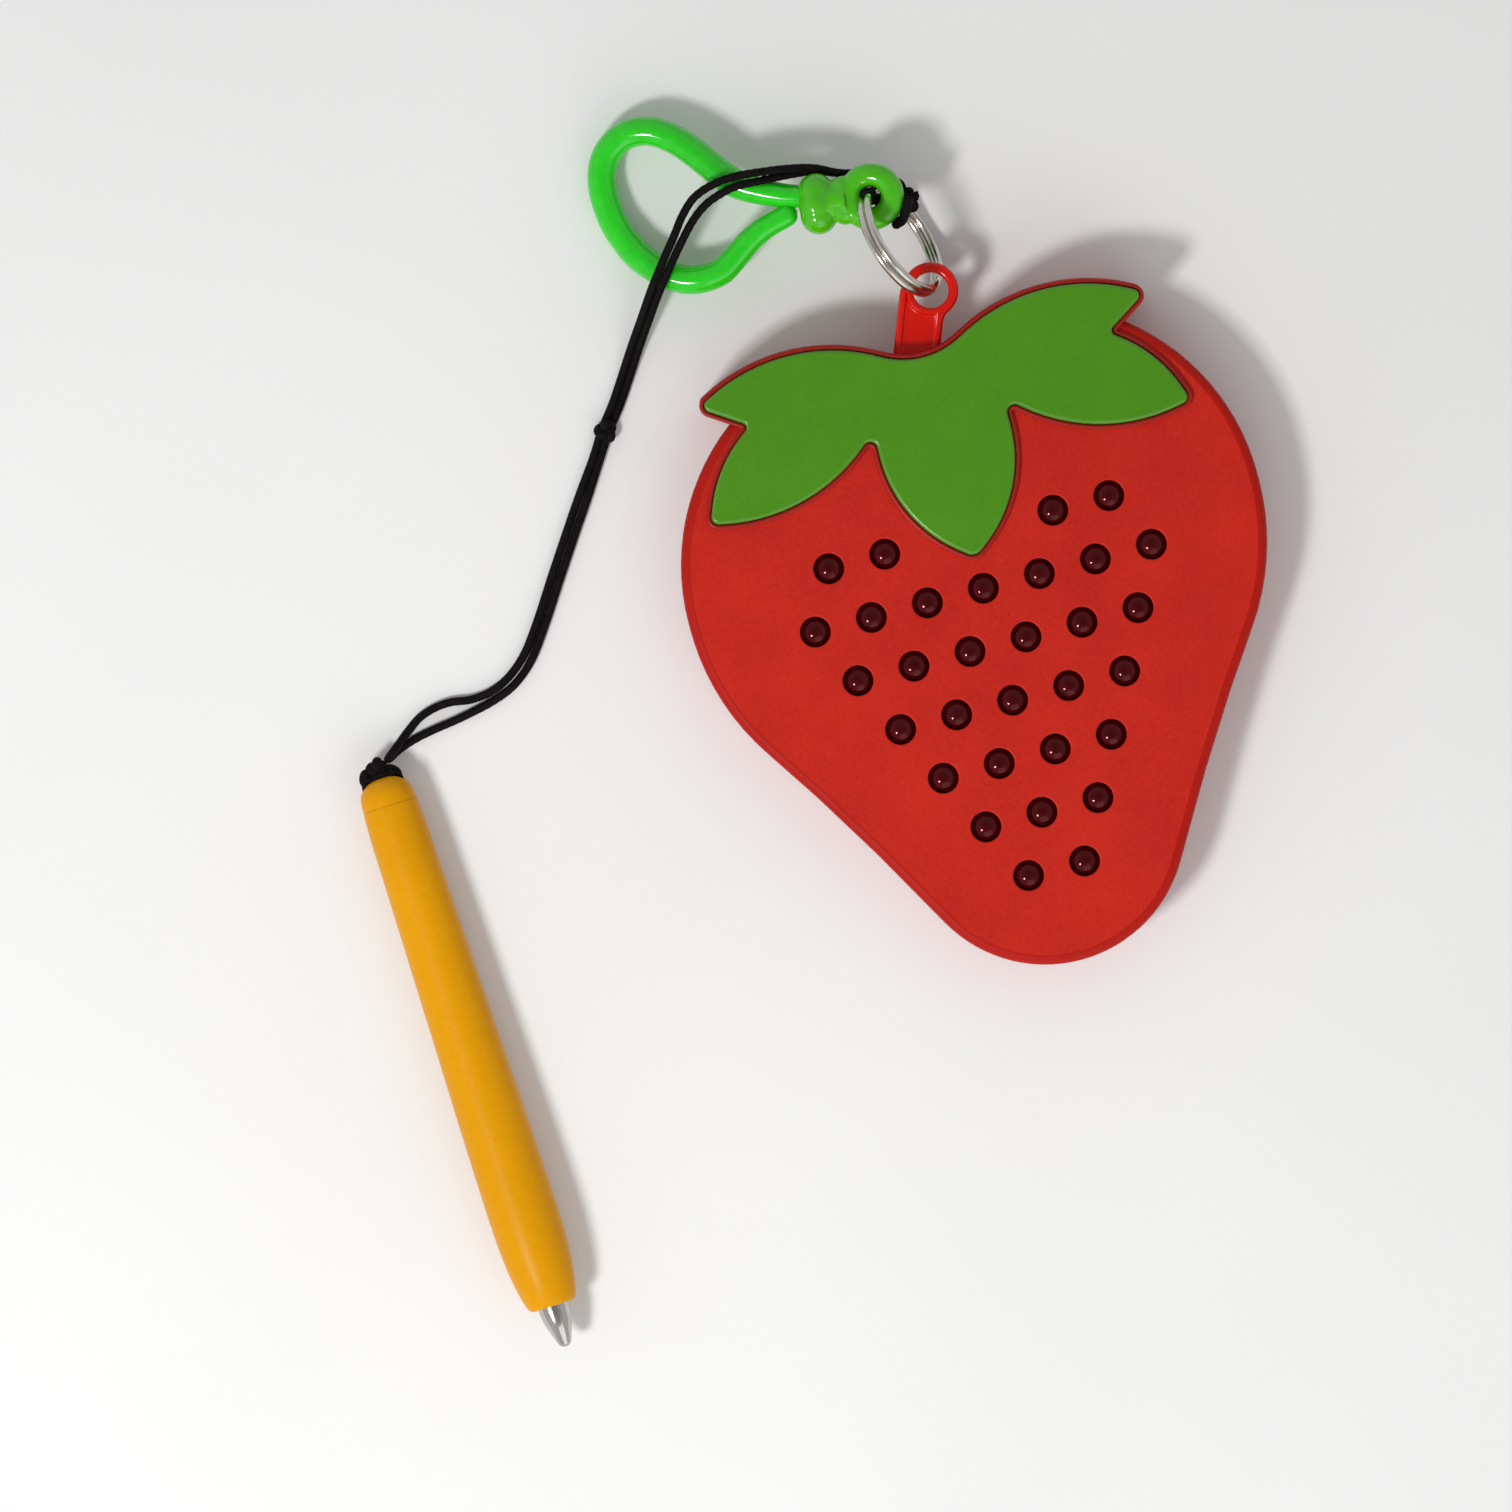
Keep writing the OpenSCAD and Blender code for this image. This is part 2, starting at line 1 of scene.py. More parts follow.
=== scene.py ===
"""Berry-shaped magnetic bead drawing toy with its clip and its pen on a cord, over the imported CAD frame.

The toy lies on its back at z = 0 with the bead face up. The sizes below are in millimetres and MM turns
them into the scene's metres. Outlines and routes repeat the CAD model's own, so each piece lies where its CAD
solid is.
"""
import math

import bmesh
import bpy
from mathutils import Matrix, Vector
from mathutils.geometry import tessellate_polygon


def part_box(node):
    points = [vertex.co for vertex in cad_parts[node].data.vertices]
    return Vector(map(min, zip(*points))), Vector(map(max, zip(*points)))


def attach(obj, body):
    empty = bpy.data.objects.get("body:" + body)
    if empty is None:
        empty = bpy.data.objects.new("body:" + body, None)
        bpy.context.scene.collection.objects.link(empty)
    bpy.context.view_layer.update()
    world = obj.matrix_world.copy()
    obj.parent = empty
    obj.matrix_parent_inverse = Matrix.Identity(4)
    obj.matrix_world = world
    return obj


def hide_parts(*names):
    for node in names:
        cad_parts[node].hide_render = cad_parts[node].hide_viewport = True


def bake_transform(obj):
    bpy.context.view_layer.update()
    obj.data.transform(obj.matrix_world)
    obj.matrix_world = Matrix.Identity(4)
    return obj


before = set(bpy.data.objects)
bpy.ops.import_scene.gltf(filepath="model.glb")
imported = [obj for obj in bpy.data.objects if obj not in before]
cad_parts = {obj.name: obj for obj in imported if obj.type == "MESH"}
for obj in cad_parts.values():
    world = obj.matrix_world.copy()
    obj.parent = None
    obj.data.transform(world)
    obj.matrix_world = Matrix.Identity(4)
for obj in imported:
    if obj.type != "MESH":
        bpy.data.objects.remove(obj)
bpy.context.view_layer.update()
MM = 0.001

# ---------------------------------------------------------------- sizes of the case
# Corners of the right half of each outline from the bottom upwards: x, y, rounding radius
CASE_HALF = [
    (0, -57, 17), (23, -17.2, 150), (35.6, 1.6, 30), (35.6, 25, 27.6),
    (24, 34, 0.6), (28.9, 36.5, 1.1), (16, 43.5, 22.6), (0, 34.8, 9.4),
]
CAVITY_HALF = [(0, -57, 17), (23, -17.2, 150), (35.6, 1.6, 30), (35.6, 22.5, 22), (21, 34, 3)]
FIELD_HALF = [(5.7, -32, 3.5), (24.9, 6.5, 3.5), (19.7, 17, 3.5)]
LEAF_HALF = [
    (0, 10.3, 1.5), (8.3, 16.8, 16.5), (8.1, 28.1, 0.9), (18.1, 19.7, 21.8), (30, 22.2, 0.9),
    (27.6, 28.7, 16.5), (22.4, 32.6, 0.6), (27.9, 36.2, 0.8), (16, 42.6, 22), (0, 34, 10),
]
ARC_STEP = 4
WALL = 1.6
SEAM_Z = 4.5
FACE_Z = 9.0
FACE_UNDER = 8.0
PAD_Z = 6.5
HOLE_R = 1.85
# How much wider than the hole and how far below the face its rounded mouth is
HOLE_EDGE = [(0.24, 0), (0.18, 0), (0.10, 0.02), (0.04, 0.07), (0, 0.16)]
WELL_R = 2.15
PLINTH_Z = 9.6
LEAF_BORDER = 0.6
LEAF_LOW = 8.75
LEAF_TOP = 10.2
SCREW_AT = [(-26.5, 22.5), (26.5, 22.5), (0, -35.2)]

# ---------------------------------------------------------------- sizes of the tab and the ring
TAB_BASE = (-0.45, 36.5)
TAB_LEAN = 20.5
TAB_HALF_W = 2.8
EYELET_AT = (0.9, 7.3)
EYELET_R = 3.4
EYELET_HOLE_R = 2.15
TAB_LOW = 5.1
TAB_TOP = 7.3
RING_AT = (1, 49.7, 7.1)
RING_YAW = 107.5
RING_LEAN = 25
RING_R = 7.0
WIRE_R = 0.5
COIL_GAP = 0.98

# ---------------------------------------------------------------- sizes of the clip
CLIP_EYE = (-1.2, 55.75, 8.2)
CLIP_PITCH = 11.6
# The eye's rod is fatter and its hole smaller than in the CAD model, as in the photograph
EYE_R = 2.65
EYE_ROD_R = 1.45
COLLAR_AT = (-7.8, 56.6)
NECK_R = 2.15
# Lumps that melt into the collar and into the throat behind the eye: side step and radii
COLLAR_MIDDLE = (2.3, 3.0, 2.8)
COLLAR_LOBE_STEP = 1.45
COLLAR_LOBE = (2.25, 2.3, 2.5)
THROAT_LOBE_STEP = 1.1
THROAT_LOBE = (1.9, 1.9, 1.65)
MELT_VOXEL = 0.11
MELT_ROUNDS = 34
ROD_R = 1.75
ARM_THINNER = 0.42
HOOK_ROOT_THINNER = 0.45
HOOK_ROUTE = [
    (-8.5, 57.8), (-11, 58.5), (-13.8, 59.8), (-16.4, 61.4), (-18.4, 63.6), (-20.3, 66.2),
    (-22.4, 68.6), (-24.8, 70.3), (-27.2, 70.8), (-29.4, 70.2), (-31.2, 68.6), (-32.2, 66.2),
    (-32.4, 63.4), (-31.9, 60), (-30.6, 56.8),
]
# The arm reaches 1.7 further towards the collar than the CAD arm, as in the photograph
ARM_ROUTE = [
    (-31.9, 60), (-30.6, 56.8), (-28.6, 54.2), (-26, 52.2), (-23.6, 51.5), (-21, 51.7),
    (-18.8, 53), (-16.6, 54.5), (-14.4, 55.5), (-12, 56.1), (-10.3, 56.5),
]

# ---------------------------------------------------------------- the cord's routes
CORD_R = 0.52
CORD_STEP = 0.11
BRAID_CELL = 0.95
BRAID_DEPTH = 0.09
# Length given to a braid whose two ends are hidden, so that they stay full
ENDLESS = 1e9
STRAND_A = [
    (3.1, 55.6, 6.6), (2.3, 56.9, 6.3), (0.9, 58, 6.2), (-1.3, 58.8, 6.1), (-4.2, 59.6, 6.2),
    (-7, 60.9, 6.6), (-10, 61.6, 7.1), (-13, 62, 7.5), (-16.5, 62.3, 7.7), (-19.4, 62, 7.6),
    (-21.9, 61.1, 7.1), (-23.8, 59.4, 6.6), (-25.4, 57.3, 6.2), (-27.4, 54.8, 5.6), (-29.6, 51.9, 4.9),
    (-31.8, 48.7, 3), (-34, 45.5, 1.2), (-35.8, 42.7, 0.5), (-37.7, 39.8, 0.5), (-39.8, 37, 0.5),
    (-41.8, 33.8, 0.5), (-44.6, 29.8, 0.5), (-47.4, 25.6, 0.5), (-50.4, 21, 0.5), (-53.2, 16.6, 0.5),
    (-55.8, 13, 0.5), (-58.4, 10.7, 0.5), (-61, 9.5, 0.5), (-63.6, 9.2, 0.5), (-66, 9.5, 0.5),
    (-68.2, 9.3, 0.5), (-70.2, 8.6, 0.5), (-71.9, 7.4, 0.9), (-73.6, 6, 1.9), (-74.8, 5, 2.9),
    (-75.5, 4.6, 3.4),
]
STRAND_B = [
    (3.1, 55.6, 5.6), (2.1, 56.9, 5.3), (0.7, 58, 5.1), (-1.4, 58.7, 5), (-4.2, 59.6, 5.1),
    (-7, 60.6, 5.5), (-10, 60.9, 6.2), (-13, 61, 7.2), (-16.5, 61.1, 7.7), (-18.7, 60.7, 7.5),
    (-20.8, 59.9, 7), (-22.7, 58.5, 6.6), (-24.5, 56.6, 6.2), (-26.6, 54.1, 5.6), (-28.8, 51.3, 4.9),
    (-31, 48.2, 3), (-33.2, 45, 1.2), (-35, 42.2, 0.5), (-37, 39.2, 0.5), (-39.1, 36.4, 0.5),
    (-41.1, 33.3, 0.5), (-43.7, 29.2, 0.5), (-46.5, 25, 0.5), (-49.5, 20.4, 0.5), (-52.4, 15.9, 0.5),
    (-55.2, 12, 0.5), (-58, 9.6, 0.5), (-60.8, 8.4, 0.5), (-63.6, 7.7, 0.5), (-66.2, 7.2, 0.5),
    (-68.8, 6.8, 0.5), (-71.2, 6.3, 0.5), (-73.3, 5.6, 0.7), (-74.6, 4.9, 1.5), (-75.4, 4.4, 2.2),
]
# Where the hitch's two wraps lie round the eye, and each wrap's start and sweep round the rod, in degrees
HITCH_ANGLES = (-25, -62)
WRAP_START = 160
WRAP_SWEEP = 215
# In the eye's frame: the way from one wrap to the other, and the height and the reach of the turns over them
HITCH_INSIDE = [(0.3, 0.55, 0.9), (-0.55, 0.6, 1.0), (-0.6, -0.15, 0.9)]
HITCH_TURNS = [(0.35, 0.05), (-0.55, 0.0), (-1.3, -0.35)]
HITCH_KNOT = (3.3, 53.8, 7.5)
LOWER_TURN = (3.2, 54.8, 6.5)
CUT_END = [(3.0, 54.0, 7.6), (3.5, 54.3, 8.0), (4.0, 54.5, 8.0), (4.3, 54.5, 7.9)]
MID_KNOT = (-39.4, 36.6, 1.05)
PEN_KNOT = (-76.7, 4, 3.3)
# A turn over the pen's knot, seen from above. One lies above the knot's middle and one below it
PEN_TURN = [(-77.9, 3.7), (-78.2, 3.1), (-77.6, 2.85), (-76.4, 3.1), (-75.2, 2.85), (-74.7, 3.2)]
PEN_TURN_RISE = 0.42
PEN_LOOP = [
    (-77.4, 4, 3.4), (-78.2, 3.7, 3.5), (-78.6, 3.1, 3.5), (-78.5, 2.3, 3.5), (-78.5, 1.5, 3.5),
    (-78.2, 0.9, 3.5), (-77.5, 0.7, 3.5), (-76.3, 0.8, 3.5), (-75.1, 0.9, 3.5), (-74.5, 1.1, 3.5),
    (-74.3, 1.7, 3.5), (-74.3, 2.5, 3.5), (-74.5, 3.2, 3.4), (-75.1, 3.6, 3.3), (-75.9, 3.8, 3.2),
]

# ---------------------------------------------------------------- sizes of the pen
PEN_TOP = (-76.45, 2.7, 3.45)
PEN_YAW = 3.45
PEN_DIP = 0.9
# Radius and distance from the round top
CAP_SIDE = [
    (0, 0), (1.2, 0.1), (2, 0.4), (2.6, 0.85), (3, 1.4), (3.22, 2), (3.33, 2.7), (3.36, 3.4),
]
BARREL_SIDE = [
    (3.4, 3.7), (3.55, 7), (3.65, 14), (3.8, 24), (3.95, 34), (4.1, 43), (4.2, 52),
    (4.2, 57), (4.1, 60), (3.9, 62.5), (3.6, 64.6), (3.25, 66.2), (3, 66.9), (2.7, 67.25),
    (2.35, 67.3),
]
NOSE_SIDE = [
    (1.9, 67.2), (1.85, 68.2), (1.7, 69.2), (1.45, 70.2), (1.1, 71.2), (0.8, 72), (0.62, 72.25),
    (0.33, 72.45), (0, 72.5),
]
# The same for the flat inner faces
CAP_INSIDE = [(3.36, 3.47), (3.33, 3.5), (0, 3.5)]
BARREL_INSIDE = [(1.95, 67.2), (1.92, 66.2), (0, 66.2), (0, 3.51), (3.34, 3.51), (3.38, 3.55)]


# ================================================================ geometry helpers
def left_of(v):
    return Vector((-v.y, v.x))


def turned(v, angle):
    c, s = math.cos(angle), math.sin(angle)
    return Vector((v.x * c - v.y * s, v.x * s + v.y * c))


def outline(half, inset=0.0):
    """Points of a closed outline with rounded corners, moved inwards by inset.

    The number of points doesn't depend on inset, so two outlines can be joined ring to ring.
    """
    corners = half + [(-x, y, r) for x, y, r in reversed(half) if x > 0]
    points = []
    for i, (x, y, r) in enumerate(corners):
        here = Vector((x, y))
        u = (here - Vector(corners[i - 1][:2])).normalized()
        v = (Vector(corners[(i + 1) % len(corners)][:2]) - here).normalized()
        turn = math.atan2(u.x * v.y - u.y * v.x, u.dot(v))
        side = math.copysign(1, turn)
        radius = max(r - side * inset, 0)
        corner = here + inset / (1 + u.dot(v)) * (left_of(u) + left_of(v))
        centre = corner - u * radius * math.tan(abs(turn) / 2) + side * radius * left_of(u)
        steps = max(1, math.ceil(math.degrees(abs(turn)) / ARC_STEP))
        for k in range(steps + 1):
            points.append(centre - turned(side * radius * left_of(u), turn * k / steps))
    return points


def circle(at, r, count=48):
    steps = [2 * math.pi * k / count for k in range(count)]
    return [Vector((at[0] + r * math.cos(a), at[1] + r * math.sin(a))) for a in steps]


def round_over(edge, top, r, start=0.0, steps=6, hold=0.05):
    """Inset and height pairs of a rounded top edge. A last ring keeps the flat face's shading flat."""
    arc = [(start + r * (1 - math.cos(a)), top - r + r * math.sin(a))
           for a in [math.pi / 2 * k / steps for k in range(steps + 1)]]
    return [(start, edge)] + arc + [(start + r + hold, top)]


class Builder:
    """Collects rings of points in millimetres and makes one mesh object of them."""

    def __init__(self):
        self.verts = []
        self.faces = []
        self.slots = []

    def ring(self, points, z):
        first = len(self.verts)
        self.verts += [Vector((p[0], p[1], z)) for p in points]
        return list(range(first, len(self.verts)))

    def add(self, points):
        first = len(self.verts)
        self.verts += [Vector(p) for p in points]
        return list(range(first, len(self.verts)))

    def join(self, a, b, slot=0):
        """A band of faces between two closed rings."""
        n = len(a)
        for k in range(n):
            self.faces.append((a[k], a[(k + 1) % n], b[(k + 1) % n], b[k]))
            self.slots.append(slot)

    def join_all(self, rings, slot=0):
        for a, b in zip(rings, rings[1:]):
            self.join(a, b, slot)

    def fill(self, loops, slot=0):
        """A flat face with the first loop as its edge and the others as holes."""
        kept = []
        for loop in loops:
            kept.append([i for k, i in enumerate(loop)
                         if (self.verts[i] - self.verts[loop[k - 1]]).length > 1e-5])
        flat = [i for loop in kept for i in loop]
        for tri in tessellate_polygon([[self.verts[i] for i in loop] for loop in kept]):
            self.faces.append(tuple(flat[i] for i in tri))
            self.slots.append(slot)

    def cap(self, loop):
        self.faces.append(tuple(loop))
        self.slots.append(0)

    def build(self, name, materials, sharp=None, matrix=None):
        mesh = bpy.data.meshes.new(name)
        mesh.from_pydata([tuple(v * MM) for v in self.verts], [], self.faces)
        mesh.polygons.foreach_set("material_index", self.slots)
        tidy = bmesh.new()
        tidy.from_mesh(mesh)
        bmesh.ops.remove_doubles(tidy, verts=tidy.verts, dist=1e-6)
        bmesh.ops.dissolve_degenerate(tidy, edges=tidy.edges, dist=1e-7)
        bmesh.ops.recalc_face_normals(tidy, faces=tidy.faces)
        tidy.to_mesh(mesh)
        tidy.free()
        if matrix is not None:
            mesh.transform(matrix)
        mesh.shade_smooth()
        if sharp is not None:
            mesh.set_sharp_from_angle(angle=math.radians(sharp))
        for m in materials:
            mesh.materials.append(m)
        obj = bpy.data.objects.new(name, mesh)
        bpy.context.scene.collection.objects.link(obj)
        return obj


def smooth_line(points, n):
    """A smooth line through the points, with n steps between neighbours."""
    p = [Vector(q) for q in points]
    line = []
    for i in range(len(p) - 1):
        p0, p1, p2, p3 = p[max(i - 1, 0)], p[i], p[i + 1], p[min(i + 2, len(p) - 1)]
        for k in range(n):
            t = k / n
            line.append(0.5 * (2 * p1 + (p2 - p0) * t + (2 * p0 - 5 * p1 + 4 * p2 - p3) * t * t
                               + (3 * p1 - p0 - 3 * p2 + p3) * t * t * t))
    return line + [p[-1]]


def even_line(line, step):
    """The same line with points a step apart."""
    gaps = [(b - a).length for a, b in zip(line, line[1:])]
    total = sum(gaps)
    count = max(2, round(total / step))
    spaced = []
    reached = 0.0
    i = 0
    for k in range(count + 1):
        target = total * k / count
        while i < len(gaps) - 1 and reached + gaps[i] < target:
            reached += gaps[i]
            i += 1
        spaced.append(line[i].lerp(line[i + 1], min(1.0, (target - reached) / max(gaps[i], 1e-9))))
    return spaced


def tube_rings(builder, line, radius, sides, closed=False):
    """Rings round a line that turn as little as they can.

    radius is a function of the distance along the line and the angle round it.
    """
    n = len(line)
    tangents = [(line[(i + 1) % n if closed else min(i + 1, n - 1)]
                 - line[i - 1 if closed else max(i - 1, 0)]).normalized() for i in range(n)]
    side = tangents[0].cross(Vector((0, 0, 1)))
    if side.length < 0.1:
        side = tangents[0].cross(Vector((0, 1, 0)))
    side.normalize()
    rings, reached = [], 0.0
    for i in range(n):
        if i:
            reached += (line[i] - line[i - 1]).length
        side = (side - tangents[i] * side.dot(tangents[i])).normalized()
        up = tangents[i].cross(side)
        angles = [2 * math.pi * k / sides for k in range(sides)]
        rings.append(builder.add([line[i] + radius(reached, a) * (math.cos(a) * side + math.sin(a) * up)
                                  for a in angles]))
    return rings


def tube(builder, line, radius, sides, closed=False, caps=True):
    rings = tube_rings(builder, line, radius, sides, closed)
    builder.join_all(rings)
    if closed:
        builder.join(rings[-1], rings[0])
    elif caps:
        builder.cap(rings[0])
        builder.cap(rings[-1])


def length_of(line):
    return sum((b - a).length for a, b in zip(line, line[1:]))


def rounded_end(total, r, distance):
    """How much of radius r is left at a distance along a tube whose two ends are half balls."""
    near = min(distance, total - distance)
    return r * math.sqrt(max(0.0, 1 - (1 - near / r) ** 2)) if near < r else r


# ================================================================ materials
def nodes_of(name):
    material = bpy.data.materials.new(name)
    material.use_nodes = True
    tree = material.node_tree
    return material, tree, tree.nodes["Principled BSDF"]


def noise(tree, scale, detail=4.0, stretch=None):
    place = tree.nodes.new("ShaderNodeTexCoord")
    texture = tree.nodes.new("ShaderNodeTexNoise")
    texture.inputs["Scale"].default_value = scale
    texture.inputs["Detail"].default_value = detail
    if stretch is None:
        tree.links.new(place.outputs["Object"], texture.inputs["Vector"])
    else:
        mapping = tree.nodes.new("ShaderNodeMapping")
        mapping.inputs["Rotation"].default_value = stretch[0]
        mapping.inputs["Scale"].default_value = stretch[1]
        tree.links.new(place.outputs["Object"], mapping.inputs["Vector"])
        tree.links.new(mapping.outputs["Vector"], texture.inputs["Vector"])
    return texture.outputs["Fac"]


def spread_over(tree, value, low, high, start=0.3, end=0.7):
    """A noise value stretched from start..end to low..high."""
    step = tree.nodes.new("ShaderNodeMapRange")
    step.inputs["From Min"].default_value = start
    step.inputs["From Max"].default_value = end
    step.inputs["To Min"].default_value = low
    step.inputs["To Max"].default_value = high
    tree.links.new(value, step.inputs["Value"])
    return step.outputs["Result"]


def mixed(tree, a, b, share):
    """Two noise values in one, share of the second."""
    mix = tree.nodes.new("ShaderNodeMix")
    mix.inputs["Factor"].default_value = share
    tree.links.new(a, mix.inputs["A"])
    tree.links.new(b, mix.inputs["B"])
    return mix.outputs["Result"]


def shades(tree, value, dark, light):
    ramp = tree.nodes.new("ShaderNodeValToRGB")
    ramp.color_ramp.elements[0].position = 0.3
    ramp.color_ramp.elements[0].color = (*dark, 1)
    ramp.color_ramp.elements[1].position = 0.7
    ramp.color_ramp.elements[1].color = (*light, 1)
    tree.links.new(value, ramp.inputs["Fac"])
    return ramp.outputs["Color"]


def bump(tree, shader, height, distance):
    node = tree.nodes.new("ShaderNodeBump")
    node.inputs["Distance"].default_value = distance
    tree.links.new(height, node.inputs["Height"])
    tree.links.new(node.outputs["Normal"], shader.inputs["Normal"])


def plastic(name, dark, light, rough, blotch=110, grain=2600, grain_depth=0.012, coat=0.0, soft=0.0,
            shine=0.5):
    """Moulded plastic: slow changes of shade, a fine grain in its colour, its gloss and its surface."""
    material, tree, shader = nodes_of(name)
    grain_value = noise(tree, grain, 3)
    tree.links.new(shades(tree, mixed(tree, noise(tree, blotch, 5), grain_value, 0.4), dark, light),
                   shader.inputs["Base Color"])
    tree.links.new(spread_over(tree, grain_value, rough[0], rough[1]), shader.inputs["Roughness"])
    bump(tree, shader, grain_value, grain_depth * MM)
    shader.inputs["Specular IOR Level"].default_value = shine
    shader.inputs["Coat Weight"].default_value = coat
    shader.inputs["Coat Roughness"].default_value = 0.08
    if soft:
        shader.inputs["Subsurface Weight"].default_value = soft
        shader.inputs["Subsurface Radius"].default_value = light
        shader.inputs["Subsurface Scale"].default_value = 1.5 * MM
    return material


def metal(name, dark, light, rough, scratch=None):
    """Polished metal with faint scratches along one direction."""
    material, tree, shader = nodes_of(name)
    tree.links.new(shades(tree, noise(tree, 300, 4), dark, light), shader.inputs["Base Color"])
    shader.inputs["Metallic"].default_value = 1.0
    marks = noise(tree, 700, 6, scratch) if scratch else noise(tree, 1800, 4)
    tree.links.new(spread_over(tree, marks, rough[0], rough[1]), shader.inputs["Roughness"])
    bump(tree, shader, marks, 0.004 * MM)
    return material


def painted_reflection_ball(name):
    """Polished steel ball whose dark maroon colour is a painted reflection of the red case and the dark wells
    round it, under a thin clear film.
    """
    material, tree, shader = nodes_of(name)
    tree.links.new(shades(tree, noise(tree, 900, 4), (0.058, 0.0002, 0.0012), (0.072, 0.0004, 0.0020)),
                   shader.inputs["Base Color"])
    tree.links.new(spread_over(tree, noise(tree, 2200, 4), 0.10, 0.16), shader.inputs["Roughness"])
    shader.inputs["Metallic"].default_value = 0.3
    shader.inputs["Specular IOR Level"].default_value = 0.0
    shader.inputs["Coat Weight"].default_value = 0.32
    shader.inputs["Coat Roughness"].default_value = 0.05
    return material


def braid_cloth(name):
    """Black polyester cord: matt, with a sheen of loose fibres and a fine thread in its bump."""
    material, tree, shader = nodes_of(name)
    tree.links.new(shades(tree, noise(tree, 1500, 6), (0.0015, 0.0011, 0.0011), (0.0065, 0.0046, 0.0046)),
                   shader.inputs["Base Color"])
    shader.inputs["Roughness"].default_value = 0.7
    shader.inputs["Specular IOR Level"].default_value = 0.1
    shader.inputs["Sheen Weight"].default_value = 0.015
    shader.inputs["Sheen Roughness"].default_value = 0.4
    bump(tree, shader, noise(tree, 5200, 5), 0.05 * MM)
    return material


RED_SATIN = plastic("red_satin", (0.455, 0.0125, 0.0058), (0.575, 0.0205, 0.0098), (0.38, 0.52),
                    grain_depth=0.02, shine=0.15)
RED_GLOSS = plastic("red_gloss", (0.38, 0.007, 0.003), (0.44, 0.009, 0.004), (0.48, 0.56),
                    grain_depth=0.001, shine=0.12)
RED_WELL = plastic("red_well", (0.36, 0.008, 0.006), (0.42, 0.010, 0.007), (0.40, 0.55))
# The plinth's sides round the leaf: a darker red that is painted shade, for the shadow in the step under the
# leaf.
RED_STEP_PAINTED_SHADE = plastic("red_step_painted_shade", (0.29, 0.006, 0.003), (0.34, 0.008, 0.005), (0.34, 0.44),
                   grain_depth=0.003, shine=0.3)
TAB_RED = plastic("tab_red", (0.60, 0.0055, 0.0010), (0.68, 0.0085, 0.0018), (0.12, 0.18),
                  grain_depth=0.002, coat=0.1, shine=0.25)
LEAF_GREEN = plastic("leaf_green", (0.060, 0.235, 0.0062), (0.072, 0.270, 0.0082), (0.40, 0.54),
                     grain_depth=0.02, shine=0.15)
LEAF_EDGE = plastic("leaf_edge", (0.060, 0.235, 0.0062), (0.072, 0.270, 0.0082), (0.24, 0.31),
                    grain_depth=0.001, shine=0.5)
CLIP_GREEN = plastic("clip_green", (0.010, 0.50, 0.006), (0.022, 0.66, 0.014), (0.08, 0.15), 60, 900,
                     grain_depth=0.003, coat=0.3, soft=0.2, shine=0.4)
EYE_GREEN = plastic("eye_green", (0.050, 0.42, 0.001), (0.075, 0.52, 0.002), (0.08, 0.15), 90, 900,
                    grain_depth=0.003, coat=0.3, soft=0.2, shine=0.4)
PEN_YELLOW = plastic("pen_yellow", (0.63, 0.268, 0.0002), (0.71, 0.312, 0.0005), (0.30, 0.40), 60, 1500,
                     grain_depth=0.004, shine=0.09)
RETAINER = plastic("retainer_white", (0.72, 0.72, 0.69), (0.82, 0.82, 0.80), (0.45, 0.6))
NICKEL = metal("ring_nickel", (0.50, 0.47, 0.43), (0.68, 0.65, 0.60), (0.10, 0.24))
NOSE_METAL = metal("nose_metal", (0.42, 0.40, 0.38), (0.60, 0.58, 0.55), (0.08, 0.20),
                   scratch=((0, 0, 0.1), (6, 1, 6)))
SCREW_STEEL = metal("screw_steel", (0.38, 0.38, 0.40), (0.55, 0.55, 0.57), (0.25, 0.40))
MAGNET_METAL = metal("magnet_metal", (0.40, 0.40, 0.42), (0.50, 0.50, 0.52), (0.2, 0.35))
# The beads' dark maroon is a painted reflection of the red case and the dark wells, not the steel's own
# colour.
BALL_STEEL_PAINTED_REFLECTION = painted_reflection_ball("ball_steel_painted_reflection")
CORD_BLACK = braid_cloth("cord_black")


# ================================================================ camera, light and floor
VIEW_CENTRE = Vector((-31.75, -6.2, FACE_Z)) * MM
VIEW_WIDTH = 182.8 * MM
VIEW_DISTANCE = 1500 * MM
VIEW_ROLL = math.radians(-14.64)
# Height of the direction, 0 at the horizon and 1 straight above, and how bright the sky is there
SKY_LEVELS = [(0.0, 0.6), (0.35, 0.65), (0.6, 0.6), (0.8, 0.45), (1.0, 0.25)]
FLOOR_HALF = 1500
FLOOR_Z = -0.02


def add_camera():
    data = bpy.data.cameras.new("camera")
    data.sensor_width = 36
    data.lens = data.sensor_width * VIEW_DISTANCE / VIEW_WIDTH
    data.clip_start = 0.01
    data.clip_end = 20
    camera = bpy.data.objects.new("camera", data)
    camera.matrix_world = (Matrix.Translation(VIEW_CENTRE + Vector((0, 0, VIEW_DISTANCE)))
                           @ Matrix.Rotation(VIEW_ROLL, 4, "Z"))
    bpy.context.scene.collection.objects.link(camera)
    bpy.context.scene.camera = camera


def add_softbox(name, at, size, radiance, target=(-15, 0, 5)):
    """A square lamp of a given size and brightness that faces the toy."""
    data = bpy.data.lights.new(name, "AREA")
    data.size = size * MM
    data.energy = radiance * math.pi * (size * MM) ** 2
    light = bpy.data.objects.new(name, data)
    away = (Vector(at) - Vector(target)) * MM
    facing = away.to_track_quat("Z", "Y").to_matrix().to_4x4()
    light.matrix_world = Matrix.Translation(Vector(at) * MM) @ facing
    light.visible_camera = False
    bpy.context.scene.collection.objects.link(light)


